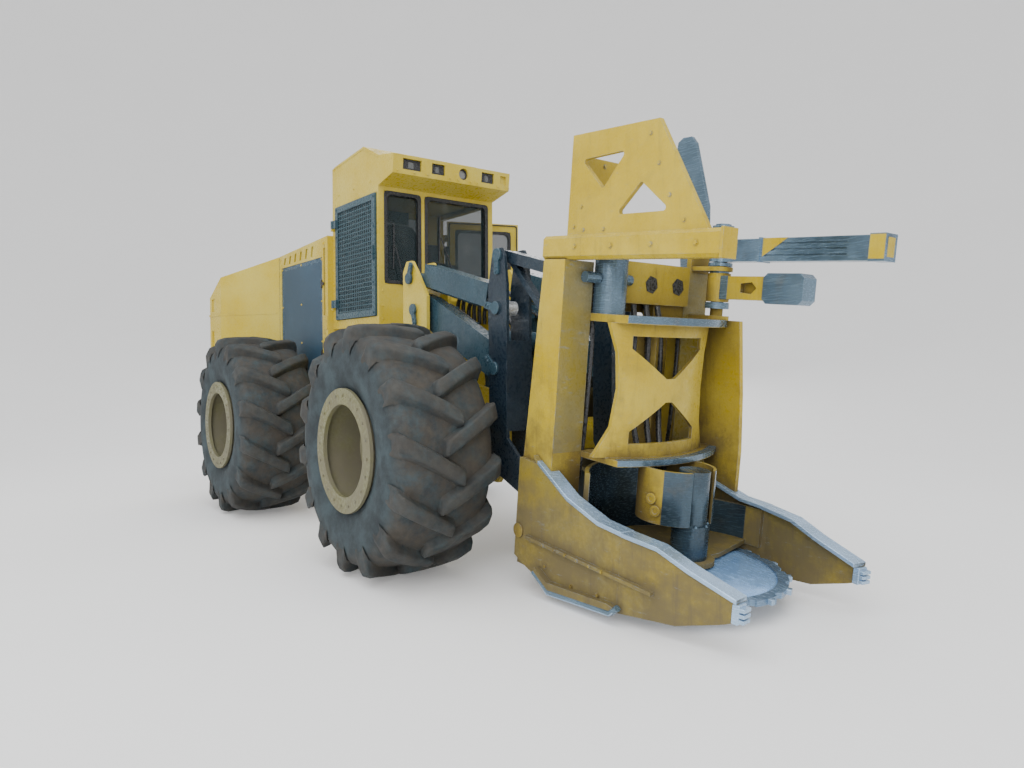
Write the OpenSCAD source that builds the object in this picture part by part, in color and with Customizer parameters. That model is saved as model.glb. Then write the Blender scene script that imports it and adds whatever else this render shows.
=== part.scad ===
// Wheeled feller buncher with a disc saw head: an articulated four-wheel carrier.
// x points forward, y to the left, z up, and the ground is z = 0, all in millimetres.
// Places along x are measured from the point midway between the axles.

/* [Wheels] */
// Distance between the axles
wheelbase = 3070; // [2900:10:3300]
// Radius of a tyre over its lugs
tyre_r = 920; // [880:5:950]
// Width of a tyre
tyre_w = 776; // [700:2:790]
// Distance from the centre line to the middle of a tyre
track_half = 1212; // [1190:2:1240]
// Radius of the rim under the tyre's bead
rim_r = 405; // [380:5:430]
// Radius of the wheel spindle
spindle_r = 90; // [80:1:100]
// Radius of the axle tube
axle_tube_r = 140; // [120:5:160]
// Running gap between a hub and its spindle
hub_gap = 0.05; // [0.03:0.01:0.1]
// Radius of an axle's differential
diff_r = 235; // [220:1:240]

/* [Steering] */
// Place of the steering hinge along the machine
hinge_x = 600; // [560:10:640]
// Radius of the hinge pins
hinge_pin_r = 50; // [40:1:60]
// Running gap around the hinge pins
hinge_gap = 0.05; // [0.03:0.01:0.1]

/* [Cab] */
// Front face of the cab
cab_front_x = 220; // [180:5:230]
// Rear face of the cab
cab_rear_x = -800; // [-820:5:-760]
// Half of the cab's width
cab_half = 640; // [620:5:650]
// Underside of the cab floor
cab_floor_z = 1900; // [1880:5:1920]
// Underside of the cab roof
cab_eave_z = 3180; // [3150:5:3200]
// Thickness of the cab's walls
cab_wall = 60; // [50:5:70]
// Angle that the left door stands open
door_open = 70; // [60:1:80]
// Gap around a door
door_gap = 6; // [5:1:10]

/* [Engine enclosure] */
// Where the screens end and the flared rear part begins
flare_x = -2200; // [-2250:10:-2150]
// Rear end of the flared part
tail_x = -3280; // [-3320:10:-3240]
// Half width between the cab and the flared part
hood_half = 700; // [690:5:720]
// Half width at the tail
tail_half = 1190; // [1150:5:1210]
// Thickness of the enclosure's panels
panel_t = 30; // [20:5:40]
// Underside of the enclosure
hood_low_z = 1240; // [1220:5:1260]
// Height of the enclosure's top behind the cab
hood_top_z = 2856; // [2800:2:2880]
// Height of the top where the flared part begins
flare_top_z = 2796; // [2760:2:2796]
// Height of the enclosure's rear edge
tail_top_z = 2371; // [2340:1:2400]

// Radius of the hole for a tow pin in the bumper
tow_hole_r = 30; // [25:1:35]

/* [Boom] */
// Boom pin on the tower, along and up
boom_pin_x = 880; // [860:5:900]
boom_pin_z = 2000; // [1980:5:2020]
// Middle of each boom arm from the centre line
arm_y = 520; // [510:1:530]
// Thickness of a boom arm
arm_t = 100; // [80:5:110]
// Radius of the boom's pins
boom_pin_r = 40; // [35:1:45]
// Radius of the cylinder pins
cyl_pin_r = 30; // [25:1:35]
// Running gap around the pins
pin_gap = 0.05; // [0.03:0.01:0.1]

/* [Felling head] */
// Saw axis along the machine
saw_x = 3300; // [3270:5:3330]
// Height of the saw disc
saw_z = 190; // [180:5:200]
// Angle that the head leans forward
head_lean = 6; // [4:1:8]
// Radius of the saw disc over its teeth
saw_r = 655; // [620:5:660]
// Half of the head's width
head_half = 700; // [690:5:720]

/* [Hidden] */
// clearance of pieces that seat on each other along a slope or a curve
seat_gap = 0.3;
yellow = "goldenrod";
dark = "darkslategray";
steel = "silver";
worn = "slategray";
$fn = 48;

front_axle_x = wheelbase / 2;
rear_axle_x = -wheelbase / 2;
rim_face_y = track_half + tyre_w / 2;
bumper_x = -3330;

// pins of the lever and the tilt cylinder
lever_pin = [2040, 1500];
tilt_rod_pin = [2066, 1940];
lever_top_pin = [2085, 2320];
tilt_base_pin = [810, 2270];
lift_base_pin = [900, 950];
lift_rod_pin = [1520, 1380];
lift_y = 250;

// a place in the head's own frame, given in the machine's x and z
function from_head(p) = [saw_x + p[0] * cos(head_lean) + p[1] * sin(head_lean),
                         saw_z - p[0] * sin(head_lean) + p[1] * cos(head_lean)];
head_foot = [-980, 400];
head_foot_pin = from_head(head_foot);
upper_arm_end = 800;
upper_arm_z = [2030, 2190];
lower_arm_end = 300;
lower_arm_z = [1750, 1950];
mid_x = (from_head([upper_arm_end, upper_arm_z[1]])[0] + bumper_x) / 2;

// shared shapes

module placed() translate([-mid_x, 0, 0]) children();

module both_sides() {
  children();
  mirror([0, 1, 0]) children();
}

// box from its low corner to its high corner
module span(low, high) translate(low) cube(high - low);

// outline in x and z, standing upright from y0 to y1
module upright(points, y0, y1)
  translate([0, y1, 0]) rotate([90, 0, 0]) linear_extrude(y1 - y0) polygon(points);

// outline in x and y, lying flat from z0 to z1
module flat(points, z0, z1)
  translate([0, 0, z0]) linear_extrude(z1 - z0) polygon(points);

// round bar along y
module bar_y(at, r, y0, y1)
  translate([at[0], y1, at[1]]) rotate([90, 0, 0]) cylinder(r = r, h = y1 - y0);

// round bar along z
module bar_z(at, r, z0, z1) translate([at[0], at[1], z0]) cylinder(r = r, h = z1 - z0);

// round bar from one pin to another in the plane y
module bar_between(a, b, y, r, from, to) {
  turn = atan2(b[1] - a[1], b[0] - a[0]);
  translate([a[0], y, a[1]]) rotate([0, 90 - turn, 0])
    translate([0, 0, from]) cylinder(r = r, h = to - from);
}

function reach(a, b) = norm(b - a);

// turns x along the line from one pin to another in the plane y
module along(a, b, y)
  translate([a[0], y, a[1]]) rotate([0, -atan2(b[1] - a[1], b[0] - a[0]), 0]) children();

// wheels

// the tyre about its own axis, outer side up
module tyre() {
  crown = tyre_r;
  half = tyre_w / 2;
  color("dimgray") rotate_extrude() polygon([
    [rim_r, -half + 55], [rim_r + 60, -half + 25], [rim_r + 200, -half], [crown - 110, -half],
    [crown - 20, -half + 35], [crown, -half + 90], [crown, half - 90], [crown - 20, half - 35],
    [crown - 110, half], [rim_r + 200, half], [rim_r + 60, half - 25], [rim_r, half - 55]]);
}

// the rim about its own axis, outer side up, with the dished hub
module rim() {
  half = tyre_w / 2;
  dish_z = -10;
  color(yellow) difference() {
    union() {
      rotate_extrude() polygon([
        [rim_r - 30, -half + 20], [rim_r, -half + 20], [rim_r, half - 20], [rim_r + 40, half - 20],
        [rim_r + 40, half + 5], [rim_r - 75, half + 5], [rim_r - 75, half - 25],
        [rim_r - 30, half - 45], [rim_r - 30, dish_z + 40], [spindle_r + hub_gap, dish_z + 40],
        [spindle_r + hub_gap, dish_z], [rim_r - 30, dish_z]]);
      difference() {
        translate([0, 0, dish_z - 60]) cylinder(r = 200, h = 230);
        translate([0, 0, dish_z - 61]) cylinder(r = spindle_r + hub_gap, h = 180);
      }
    }
  }
}

module wheel_place(x, side) translate([x, side * track_half, tyre_r]) rotate([-90 * side, 0, 0]) children();

module tyre_front_right() placed() wheel_place(front_axle_x, -1) tyre();
module tyre_front_left() placed() wheel_place(front_axle_x, 1) tyre();
module tyre_rear_right() placed() wheel_place(rear_axle_x, -1) tyre();
module tyre_rear_left() placed() wheel_place(rear_axle_x, 1) tyre();
module rim_front_right() placed() wheel_place(front_axle_x, -1) rim();
module rim_front_left() placed() wheel_place(front_axle_x, 1) rim();
module rim_rear_right() placed() wheel_place(rear_axle_x, -1) rim();
module rim_rear_left() placed() wheel_place(rear_axle_x, 1) rim();

// axle with its differential and a spindle at each end
module axle(x) {
  tube_end = track_half - 100;
  color(yellow) {
    bar_y([x, tyre_r], axle_tube_r, -tube_end, tube_end);
    bar_y([x, tyre_r], spindle_r, -tube_end - 200, tube_end + 200);
    translate([x, 0, tyre_r]) sphere(r = diff_r);
  }
}
module rear_axle() placed() axle(rear_axle_x);
module front_axle() placed() axle(front_axle_x);

// rear frame

frame_y0 = 330;
frame_y1 = 370;
lug_z = [560, 600, 1090, 1130];

// steering cylinder's pins on the right, seen from above, and their height
steer_base = [-340, -505];
steer_eye = [600, -400];
steer_z = 850;

module rear_frame() color(yellow) placed() {
  difference() {
    both_sides() upright([[-3100, 640], [150, 640], [200, 700], [200, cab_floor_z - 40],
      [-700, cab_floor_z - 40], [-760, hood_low_z], [-3100, hood_low_z]], frame_y0, frame_y1);
    bar_y([rear_axle_x, tyre_r], axle_tube_r, -500, 500);
    // the steering cylinders swing in here
    both_sides() span([-70, 300, steer_z - 70], [201, 400, steer_z + 70]);
  }
  // cross plates between the side plates
  for (x = [-3100, -2500, rear_axle_x + diff_r + 60, -740])
    span([x, -frame_y0, 660], [x + 40, frame_y0, hood_low_z]);
  span([120, -300, 660], [160, 300, hood_low_z]);
  both_sides() for (z = [[660, steer_z - 70], [steer_z + 70, hood_low_z]])
    span([120, 300, z[0]], [160, frame_y0, z[1]]);
  span([-700, -frame_y1, cab_floor_z - 40], [200, frame_y1, cab_floor_z]);
  // outriggers under the engine enclosure
  both_sides() for (x = [-2190, -900])
    span([x, frame_y1, hood_low_z - 60], [x + 40, hood_half, hood_low_z]);
  // hinge lugs and their pins
  for (z = [lug_z[0], lug_z[2]])
    hull() {
      span([120, -300, z], [160, 300, z + 40]);
      bar_z([hinge_x, 0], 130, z, z + 40);
    }
  for (z = [lug_z[0], lug_z[2] - 50])
    bar_z([hinge_x, 0], hinge_pin_r, z, z + 90);
  // steering cylinder brackets
  both_sides() {
    for (z = [steer_z - 50, steer_z + 35])
      span([steer_base[0] - 40, frame_y1, z], [steer_base[0] + 40, 40 - steer_base[1], z + 15]);
    bar_z([steer_base[0], -steer_base[1]], cyl_pin_r, steer_z - 50, steer_z + 50);
  }
}

module engine_block() color("dimgray") placed()
  span([-2600, -320, hood_low_z], [-1250, 320, 2050]);

// engine enclosure

screen_x = [-2120, -940];
screen_z = [1330, 2655];

module hood_front() color(yellow) placed() difference() {
  upright([[cab_rear_x, hood_low_z], [cab_rear_x, hood_top_z], [flare_x, flare_top_z],
    [flare_x, hood_low_z]], -hood_half, hood_half);
  upright([[cab_rear_x - panel_t, hood_low_z - 1], [cab_rear_x - panel_t, hood_top_z - panel_t],
    [flare_x - 1, flare_top_z - panel_t], [flare_x - 1, hood_low_z - 1]],
    -hood_half + panel_t, hood_half - panel_t);
  // openings that the screens fill
  span([screen_x[0], -hood_half - 1, screen_z[0]], [screen_x[1], hood_half + 1, screen_z[1]]);
  // slanted vents above the screens
  for (i = [0:5]) {
    x = -1180 - 160 * i;
    top = flare_top_z + (x - flare_x) / (cab_rear_x - flare_x) * (hood_top_z - flare_top_z);
    upright([[x - 70, screen_z[1] + 30], [x - 20, screen_z[1] + 30], [x + 10, top - 45],
      [x - 40, top - 45]], -hood_half - 1, hood_half + 1);
  }
  // upright slot behind the cab
  both_sides() span([cab_rear_x - 110, hood_half - 12, 2050], [cab_rear_x - 60, hood_half + 1, 2740]);
}

// screens with a border around slats
module side_screens() color(dark) placed() both_sides() {
  difference() {
    span([screen_x[0], hood_half - panel_t, screen_z[0]], [screen_x[1], hood_half - 6, screen_z[1]]);
    span([screen_x[0] + 45, hood_half - 16, screen_z[0] + 45],
      [screen_x[1] - 45, hood_half - 5, screen_z[1] - 45]);
  }
  for (x = [screen_x[0] + 100 : 70 : screen_x[1] - 80])
    span([x, hood_half - 16, screen_z[0] + 45], [x + 20, hood_half - 9, screen_z[1] - 45]);
}

// flared rear part, all walls moved inwards by t
knee_x = -2960;
knee_half = 1150;
knee_z = 2603;
module hood_rear_solid(t) intersection() {
  flat([[flare_x + t, -hood_half + t], [flare_x + t, hood_half - t], [knee_x + t, knee_half - t],
    [tail_x + t, tail_half - t], [tail_x + t, -tail_half + t], [knee_x + t, -knee_half + t]],
    hood_low_z - 140, flare_top_z + 60);
  upright([[flare_x + t, hood_low_z - 140], [flare_x + t, flare_top_z - t], [knee_x + t, knee_z - t],
    [tail_x + t, tail_top_z - t], [tail_x + t, hood_low_z - 140]], -tail_half - 50, tail_half + 50);
}

seam_z = 2140;
module hood_rear() color(yellow) placed() difference() {
  union() {
    hood_rear_solid(0);
    // lip along the seam
    intersection() {
      hood_rear_solid(-12);
      span([tail_x, -1300, seam_z], [flare_x - 30, 1300, seam_z + 22]);
    }
  }
  hood_rear_solid(panel_t);
  // openings in the floor of the flared part, and the radiator's in the tail
  span([tail_x + panel_t, -hood_half, hood_low_z - 141], [flare_x + 1, hood_half, hood_low_z]);
  span([tail_x - 50, -grille_half, grille_z[0]], [tail_x + 100, grille_half, grille_z[1]]);
  // shallow recesses at the rear corners
  both_sides() for (z = [[1600, 1960], [2200, 2350]])
    span([tail_x + 55, tail_half - 22, z[0]], [knee_x - 90, tail_half + 20, z[1]]);
}

grille_half = 900;
grille_z = [1250, 2100];

// grille of slats in a border
module rear_grille() color(dark) placed() {
  difference() {
    span([tail_x, -grille_half, grille_z[0]], [tail_x + panel_t, grille_half, grille_z[1]]);
    span([tail_x - 1, -grille_half + 50, grille_z[0] + 50],
      [tail_x + panel_t + 1, grille_half - 50, grille_z[1] - 50]);
  }
  for (z = [grille_z[0] + 80 : 50 : grille_z[1] - 80])
    span([tail_x + 4, -grille_half + 50, z], [tail_x + 22, grille_half - 50, z + 24]);
  for (y = [-300, 300]) span([tail_x + 8, y - 15, grille_z[0] + 50], [tail_x + 26, y + 15, grille_z[1] - 50]);
}

module rear_bumper() color(yellow) placed() difference() {
  flat([[bumper_x, -700], [-3100, -900], [-3100, 900], [bumper_x, 700]], 640, 1100);
  bar_z([-3200, 0], tow_hole_r, 639, 1101);
}

// cab

window_y = [[-580, -195], [-150, 580]];
window_z = [2290, cab_eave_z - 40];
guard_x = [-700, cab_front_x - 40];
guard_z = [1990, cab_eave_z - 60];
door_x = [-720, 100];
door_z = [1980, cab_eave_z - 50];

hinge_out = 24;
hinge_z = [2150, 2950];
door_hinge = [door_x[0] - 20, cab_half + hinge_out];
guard_hinge = [guard_x[0] - 20, -cab_half - 20 - hinge_out];

// pin on the body side of a door hinge, with its bracket
module hinge_pin(at, wall_y, z) {
  bar_z(at, 8, z - 40, z + 40);
  span([at[0] - 30, min(wall_y, at[1]), z - 60], [at[0] + 8, max(wall_y, at[1]), z - 40]);
}

// knuckle on the door side, with the plate that carries it; side is 1 for left, -1 for right
module hinge_knuckle(at, side, z) difference() {
  union() {
    bar_z(at, 14, z - 39, z + 39);
    translate([at[0], at[1], 0]) mirror([0, side < 0 ? 1 : 0, 0])
      flat([[0, 0], [0, -14], [26, -14], [26, -hinge_out], [80, -hinge_out], [80, 0]],
        z - 39, z + 39);
  }
  bar_z(at, 8 + pin_gap, z - 50, z + 50);
}

module cab_frame() color(yellow) placed() {
  cab_shell();
  for (z = hinge_z) {
    hinge_pin(door_hinge, cab_half, z);
    hinge_pin(guard_hinge, -cab_half, z);
  }
}

module cab_shell() difference() {
  span([cab_rear_x, -cab_half, cab_floor_z], [cab_front_x, cab_half, cab_eave_z]);
  span([cab_rear_x + cab_wall, -cab_half + cab_wall, cab_floor_z + cab_wall],
    [cab_front_x - cab_wall, cab_half - cab_wall, cab_eave_z + 1]);
  // front windows
  for (w = window_y)
    span([cab_front_x - cab_wall - 1, w[0], window_z[0]], [cab_front_x + 1, w[1], window_z[1]]);
  // rear window
  span([cab_rear_x - 1, -400, 2880], [cab_rear_x + cab_wall + 1, 400, cab_eave_z - 60]);
  // right side opening behind the guard
  span([guard_x[0] + 40, -cab_half - 1, guard_z[0] + 40],
    [guard_x[1] - 40, -cab_half + cab_wall + 1, guard_z[1] - 40]);
  // recess for the guard
  span([guard_x[0] - door_gap, -cab_half - 1, guard_z[0] - door_gap],
    [guard_x[1] + door_gap, -cab_half + 30, guard_z[1] + door_gap]);
  // left door opening
  span([door_x[0] - door_gap, cab_half - cab_wall - 1, door_z[0] - door_gap],
    [door_x[1] + door_gap, cab_half + 1, door_z[1] + door_gap]);
}

// roof with the visor; heights are above the eave
visor_x = 520;
visor_lamps = [[-540, -350], [-240, -100], [310, 456]];
visor_round_y = 106;

module cab_roof() color(yellow) placed() translate([0, 0, cab_eave_z]) difference() {
  upright([[cab_rear_x, 0], [cab_front_x, 0], [visor_x - 20, 62], [visor_x, 229], [240, 272],
    [-80, 420], [-730, 365], [cab_rear_x, 349]], -cab_half, cab_half);
  for (p = visor_lamps) span([visor_x - 90, p[0], 105], [visor_x + 10, p[1], 200]);
  translate([visor_x - 90, visor_round_y, 150]) rotate([0, 90, 0]) cylinder(r = 52, h = 100);
  span([visor_x - 30, 530, 110], [visor_x + 10, 600, 195]);
}

module cab_lamps() color("whitesmoke") placed() translate([0, 0, cab_eave_z]) {
  for (p = visor_lamps) span([visor_x - 90, p[0] + 12, 115], [visor_x - 35, p[1] - 12, 190]);
  translate([visor_x - 90, visor_round_y, 150]) rotate([0, 90, 0]) cylinder(r = 44, h = 50);
}

module cab_glass() color("lightsteelblue") placed() {
  for (w = window_y)
    span([cab_front_x - 40, w[0], window_z[0]], [cab_front_x - 30, w[1], window_z[1]]);
  span([cab_rear_x + 20, -400, 2880], [cab_rear_x + 30, 400, cab_eave_z - 60]);
  span([guard_x[0] + 40, -cab_half + 40, guard_z[0] + 40],
    [guard_x[1] - 40, -cab_half + 50, guard_z[1] - 40]);
}

module seat() color("black") placed() {
  span([-560, -150, cab_floor_z + cab_wall], [-260, 150, 2300]);
  span([-600, -250, 2300], [-140, 250, 2420]);
  hull() {
    span([-620, -240, 2420], [-520, 240, 2440]);
    span([-680, -200, 3000], [-600, 200, 3020]);
  }
}

module console() color("dimgray") placed() both_sides() {
  span([-500, 280, cab_floor_z + cab_wall], [-100, 400, 2560]);
  bar_z([-180, 340], 15, 2560, 2700);
}

// right side guard that swings on the cab's rear post: a border around a grid of bars
module guard_door() color(dark) placed() {
  difference() {
    span([guard_x[0], -cab_half - 20, guard_z[0]], [guard_x[1], -cab_half + 20, guard_z[1]]);
    span([guard_x[0] + 60, -cab_half - 21, guard_z[0] + 60],
      [guard_x[1] - 60, -cab_half + 21, guard_z[1] - 60]);
  }
  for (x = [guard_x[0] + 110 : 60 : guard_x[1] - 80])
    span([x, -cab_half - 6, guard_z[0] + 60], [x + 12, -cab_half + 6, guard_z[1] - 60]);
  for (z = [guard_z[0] + 160 : 100 : guard_z[1] - 100])
    span([guard_x[0] + 60, -cab_half - 10, z], [guard_x[1] - 60, -cab_half - 2, z + 12]);
  for (z = hinge_z) hinge_knuckle(guard_hinge, -1, z);
}

module door_place() translate([door_hinge[0], door_hinge[1], 0]) rotate([0, 0, door_open])
  translate([-door_hinge[0], -door_hinge[1], 0]) children();

module cab_door() color(yellow) placed() door_place() {
  difference() {
    span([door_x[0], cab_half - 45, door_z[0]], [door_x[1], cab_half, door_z[1]]);
    span([door_x[0] + 90, cab_half - 46, 2500], [door_x[1] - 90, cab_half + 1, door_z[1] - 90]);
  }
  for (z = hinge_z) hinge_knuckle(door_hinge, 1, z);
}

module door_glass() color("lightsteelblue") placed() door_place()
  span([door_x[0] + 90, cab_half - 28, 2500], [door_x[1] - 90, cab_half - 18, door_z[1] - 90]);

// front frame with the tower

tower_rear_x = 680;
nose_x = front_axle_x + diff_r + 60;

module front_frame() color(yellow) placed() {
  difference() {
    both_sides() upright([[700, 660], [700, 1150], [740, 1500], [nose_x - 70, 1300], [nose_x, 1150],
      [nose_x, 760], [nose_x - 120, 600], [760, 600]], frame_y0, frame_y1);
    bar_y([front_axle_x, tyre_r], axle_tube_r, -500, 500);
  }
  span([740, -frame_y0, 600], [780, frame_y0, 1200]);
  span([nose_x - 40, -frame_y0, 760], [nose_x, frame_y0, 1150]);
  // tower: an outer and an inner plate on each side
  both_sides() for (y = [[400, 430], [610, 640]])
    difference() {
      upright([[tower_rear_x + 40, 1100], [tower_rear_x, 1300], [tower_rear_x, 2330],
        [tower_rear_x + 60, 2420], [tower_rear_x + 150, 2420], [tower_rear_x + 230, 2330],
        [1080, 2100], [1080, 1800], [1200, 1100]], y[0], y[1]);
      bar_y([boom_pin_x, boom_pin_z], boom_pin_r, y[0] - 1, y[1] + 1);
      bar_y(tilt_base_pin, cyl_pin_r, y[0] - 1, y[1] + 1);
    }
  both_sides() {
    bar_y([boom_pin_x, boom_pin_z], boom_pin_r, 400, 655);
    bar_y(tilt_base_pin, cyl_pin_r, 400, 655);
    span([740, frame_y1, 1100], [1180, 640, 1140]);
  }
  span([tower_rear_x + 66, -400, 1145], [tower_rear_x + 106, 400, 2100]);
  // hinge lugs
  for (z = [lug_z[0] + 45, lug_z[2] - 45])
    difference() {
      hull() {
        span([740, -300, z], [780, 300, z + 40]);
        bar_z([hinge_x, 0], 130, z, z + 40);
      }
      bar_z([hinge_x, 0], hinge_pin_r + hinge_gap, z - 1, z + 41);
    }
  // lift cylinder base pins
  both_sides() bar_y(lift_base_pin, cyl_pin_r, lift_y - 60, frame_y0);
  // steering arms
  both_sides() for (z = [steer_z - 60, steer_z + 40])
    difference() {
      flat([[steer_eye[0], 355], [555, 375], [555, 425], [steer_eye[0], 445], [760, 380], [760, 330]],
        z, z + 20);
      bar_z([steer_eye[0], -steer_eye[1]], cyl_pin_r, z - 1, z + 21);
    }
  both_sides() for (z = [steer_z - 70, steer_z + 40])
    bar_z([steer_eye[0], -steer_eye[1]], cyl_pin_r, z, z + 30);
}

// steering cylinders

module steer_axis() {
  turn = atan2(steer_eye[1] - steer_base[1], steer_eye[0] - steer_base[0]);
  translate([steer_base[0], steer_base[1], steer_z]) rotate([0, 0, turn]) rotate([0, 90, 0]) children();
}

module steer_barrel() {
  difference() {
    union() {
      translate([0, 0, 60]) cylinder(r = 48, h = 547);
      rotate([0, -90, 0]) cylinder(r = 45, h = 60, center = true);
      translate([-30, -20, 0]) cube([60, 40, 70]);
    }
    rotate([0, -90, 0]) cylinder(r = cyl_pin_r + pin_gap, h = 70, center = true);
    translate([0, 0, 90]) cylinder(r = 28.1, h = 600);
  }
}

module steer_rod() {
  full = norm(steer_eye - steer_base);
  difference() {
    union() {
      translate([0, 0, 341]) cylinder(r = 28, h = full - 341);
      translate([0, 0, full]) rotate([0, -90, 0]) cylinder(r = 45, h = 60, center = true);
    }
    translate([0, 0, full]) rotate([0, -90, 0]) cylinder(r = cyl_pin_r, h = 70, center = true);
  }
}

module steer_barrel_right() color(dark) placed() steer_axis() steer_barrel();
module steer_rod_right() color(steel) placed() steer_axis() steer_rod();
module steer_barrel_left() color(dark) placed() mirror([0, 1, 0]) steer_axis() steer_barrel();
module steer_rod_left() color(steel) placed() mirror([0, 1, 0]) steer_axis() steer_rod();

// boom and its cylinders

module boom() color(dark) placed() {
  both_sides() difference() {
    upright([[760, 1990], [800, 2110], [900, 2140], [1030, 2100], [2050, 1640], [2143, 1555],
      [2143, 1445], [2080, 1380], [1960, 1400], [880, 1880], [790, 1910]],
      arm_y - arm_t / 2, arm_y + arm_t / 2);
    bar_y([boom_pin_x, boom_pin_z], boom_pin_r + pin_gap, 400, 700);
    bar_y(lever_pin, boom_pin_r + pin_gap, 400, 700);
  }
  bar_y([1450, 1720], 90, -arm_y + arm_t / 2, arm_y - arm_t / 2);
  // ears for the lift cylinders, with the heads of their pins outside
  both_sides() for (out = [-1, 1]) {
    y = lift_y + out * 50;
    upright([[1380, 1720], [1520, 1720], [1575, 1400], [1550, 1320], [1490, 1320], [1455, 1400]],
      y - 10, y + 10);
    bar_y(lift_rod_pin, 45, y + out * 17.5 - 7.5, y + out * 17.5 + 7.5);
  }
}

module cylinder_barrel(a, b, y, r, length, eye) {
  difference() {
    union() {
      bar_between(a, b, y, r, 50, length);
      bar_y(a, r - 5, y - eye / 2, y + eye / 2);
    }
    bar_y(a, cyl_pin_r + pin_gap, y - eye, y + eye);
    bar_between(a, b, y, r * 0.55 + 0.1, 70, length + 1);
  }
}

module cylinder_rod(a, b, y, r, from, eye) {
  difference() {
    union() {
      bar_between(a, b, y, r * 0.55, from, reach(a, b));
      bar_y(b, cyl_pin_r + 25, y - eye / 2, y + eye / 2);
    }
    bar_y(b, cyl_pin_r, y - eye, y + eye);
  }
}

module lift_barrels() color(dark) placed() both_sides()
  cylinder_barrel(lift_base_pin, lift_rod_pin, lift_y, 60, 640, 80);
module lift_rods() color(steel) placed() both_sides()
  cylinder_rod(lift_base_pin, lift_rod_pin, lift_y, 60, 120, 50);

guard_length = 950;
module tilt_barrels() color(dark) placed() both_sides() {
  cylinder_barrel(tilt_base_pin, tilt_rod_pin, arm_y, 60, 900, 120);
  // channel over the barrel and rod
  along(tilt_base_pin, tilt_rod_pin, arm_y) {
    difference() {
      translate([150, -79, -30]) cube([guard_length, 158, 180]);
      translate([149, -71, -31]) cube([guard_length + 2, 142, 173]);
    }
    for (x = [300, 800]) translate([x, -72, 50]) cube([20, 144, 95]);
  }
}
module tilt_rods() color(steel) placed() both_sides()
  cylinder_rod(tilt_base_pin, tilt_rod_pin, arm_y, 60, 500, 90);

// felling head

module head_place() translate([saw_x, 0, saw_z]) rotate([0, head_lean, 0]) children();

// outline of the head's posts, in the head's own frame
deck_z = [60, 90];
post_outline = [[-900, deck_z[1] + seat_gap], [-900, 600], [-810, 1950], [-600, 1950],
                [-600, deck_z[1] + seat_gap]];
post_y = 450;

module carriage() color(dark) placed() difference() {
  both_sides() {
    // lever of two plates, pinned to the boom and to the head's foot
    for (y = [[405, 430], [610, 635]])
      difference() {
        upright([[1975, 900], [1965, 2100], [2010, 2310], [2050, 2370], [2120, 2370],
          [2160, 2310], [2190, 2100], [2190, 1000], [head_foot_pin[0] + 90, 760],
          [head_foot_pin[0] + 80, 660], [head_foot_pin[0] - 20, 620], [2060, 740]], y[0], y[1]);
        bar_y(lever_pin, boom_pin_r, y[0] - 1, y[1] + 1);
        bar_y(head_foot_pin, boom_pin_r, y[0] - 1, y[1] + 1);
      }
    bar_y(lever_pin, boom_pin_r, 405, 650);
    bar_y(head_foot_pin, boom_pin_r, 405, 650);
    for (y = [405, 610]) bar_y(tilt_rod_pin, 50, y + (y < arm_y ? -15 : 25), y + (y < arm_y ? 0 : 40));
    // front web and top bar between the plates
    span([2165, 430, 1050], [2190, 610, 1700]);
    bar_y(lever_top_pin, 35, 430, 610);
    // link and brace that hold the head's post
    for (link = [[-780, 1880, 60, 40], [-800, 1450, 30, 20]]) {
      // x and z of the far end on the post, half width and half height
      end = from_head([link[0], link[1]]);
      along(lever_top_pin, end, arm_y)
        translate([0, -link[2], -link[3]]) cube([reach(lever_top_pin, end), 2 * link[2], 2 * link[3]]);
    }
  }
  both_sides() head_place() upright(post_outline, post_y - 1, head_half + 1);
}

// felling head, in its own frame with the saw disc's middle as the origin

column_r = 100;
collar_r = 120;
saw_hub_r = 70;
pocket_x = -1350;
pocket_r = 1185;
arm_axis = [-420, 600];
arm_shaft_r = 45;
top_plate_z = [1570, 1620];
low_plate_z = [660, 700];

// flat plate of the pocket with a rounded front edge
module pocket_plate(z) intersection() {
  bar_z([pocket_x, 0], pocket_r, z[0], z[1]);
  span([-620, -post_y - 1, z[0]], [0, head_half - 35, z[1]]);
}

// outline across the machine, from x0 to x1
module facing(points, x0, x1)
  translate([x0, 0, 0]) rotate([90, 0, 90]) linear_extrude(x1 - x0) polygon(points);

// upright web between the pocket plates, narrow in its middle, with a triangle above and below
web_outline = [[-530, 700], [-430, 900], [-400, 1150], [-420, 1380], [-480, 1570],
               [480, 1570], [420, 1380], [400, 1150], [430, 900], [530, 700]];
web_holes = [[[-330, 1490], [330, 1490], [330, 1410], [40, 1215], [-40, 1215], [-330, 1410]],
             [[-310, 790], [-310, 870], [-30, 1060], [30, 1060], [310, 870], [310, 790]]];
module pocket_web() difference() {
  intersection() {
    bar_z([pocket_x, 0], pocket_r - 100, 700, 1570);
    facing(web_outline, -700, 0);
  }
  bar_z([pocket_x, 0], pocket_r - 125, 699, 1571);
  for (hole = web_holes) facing(hole, -600, 0);
}

// half round cover around the saw's motor, open in front for the column
module motor_cover() difference() {
  bar_z([-150, 0], 250, 310, 660);
  bar_z([-150, 0], 232, 309, 661);
  span([-150, -105, 309], [200, 105, 661]);
}

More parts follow.
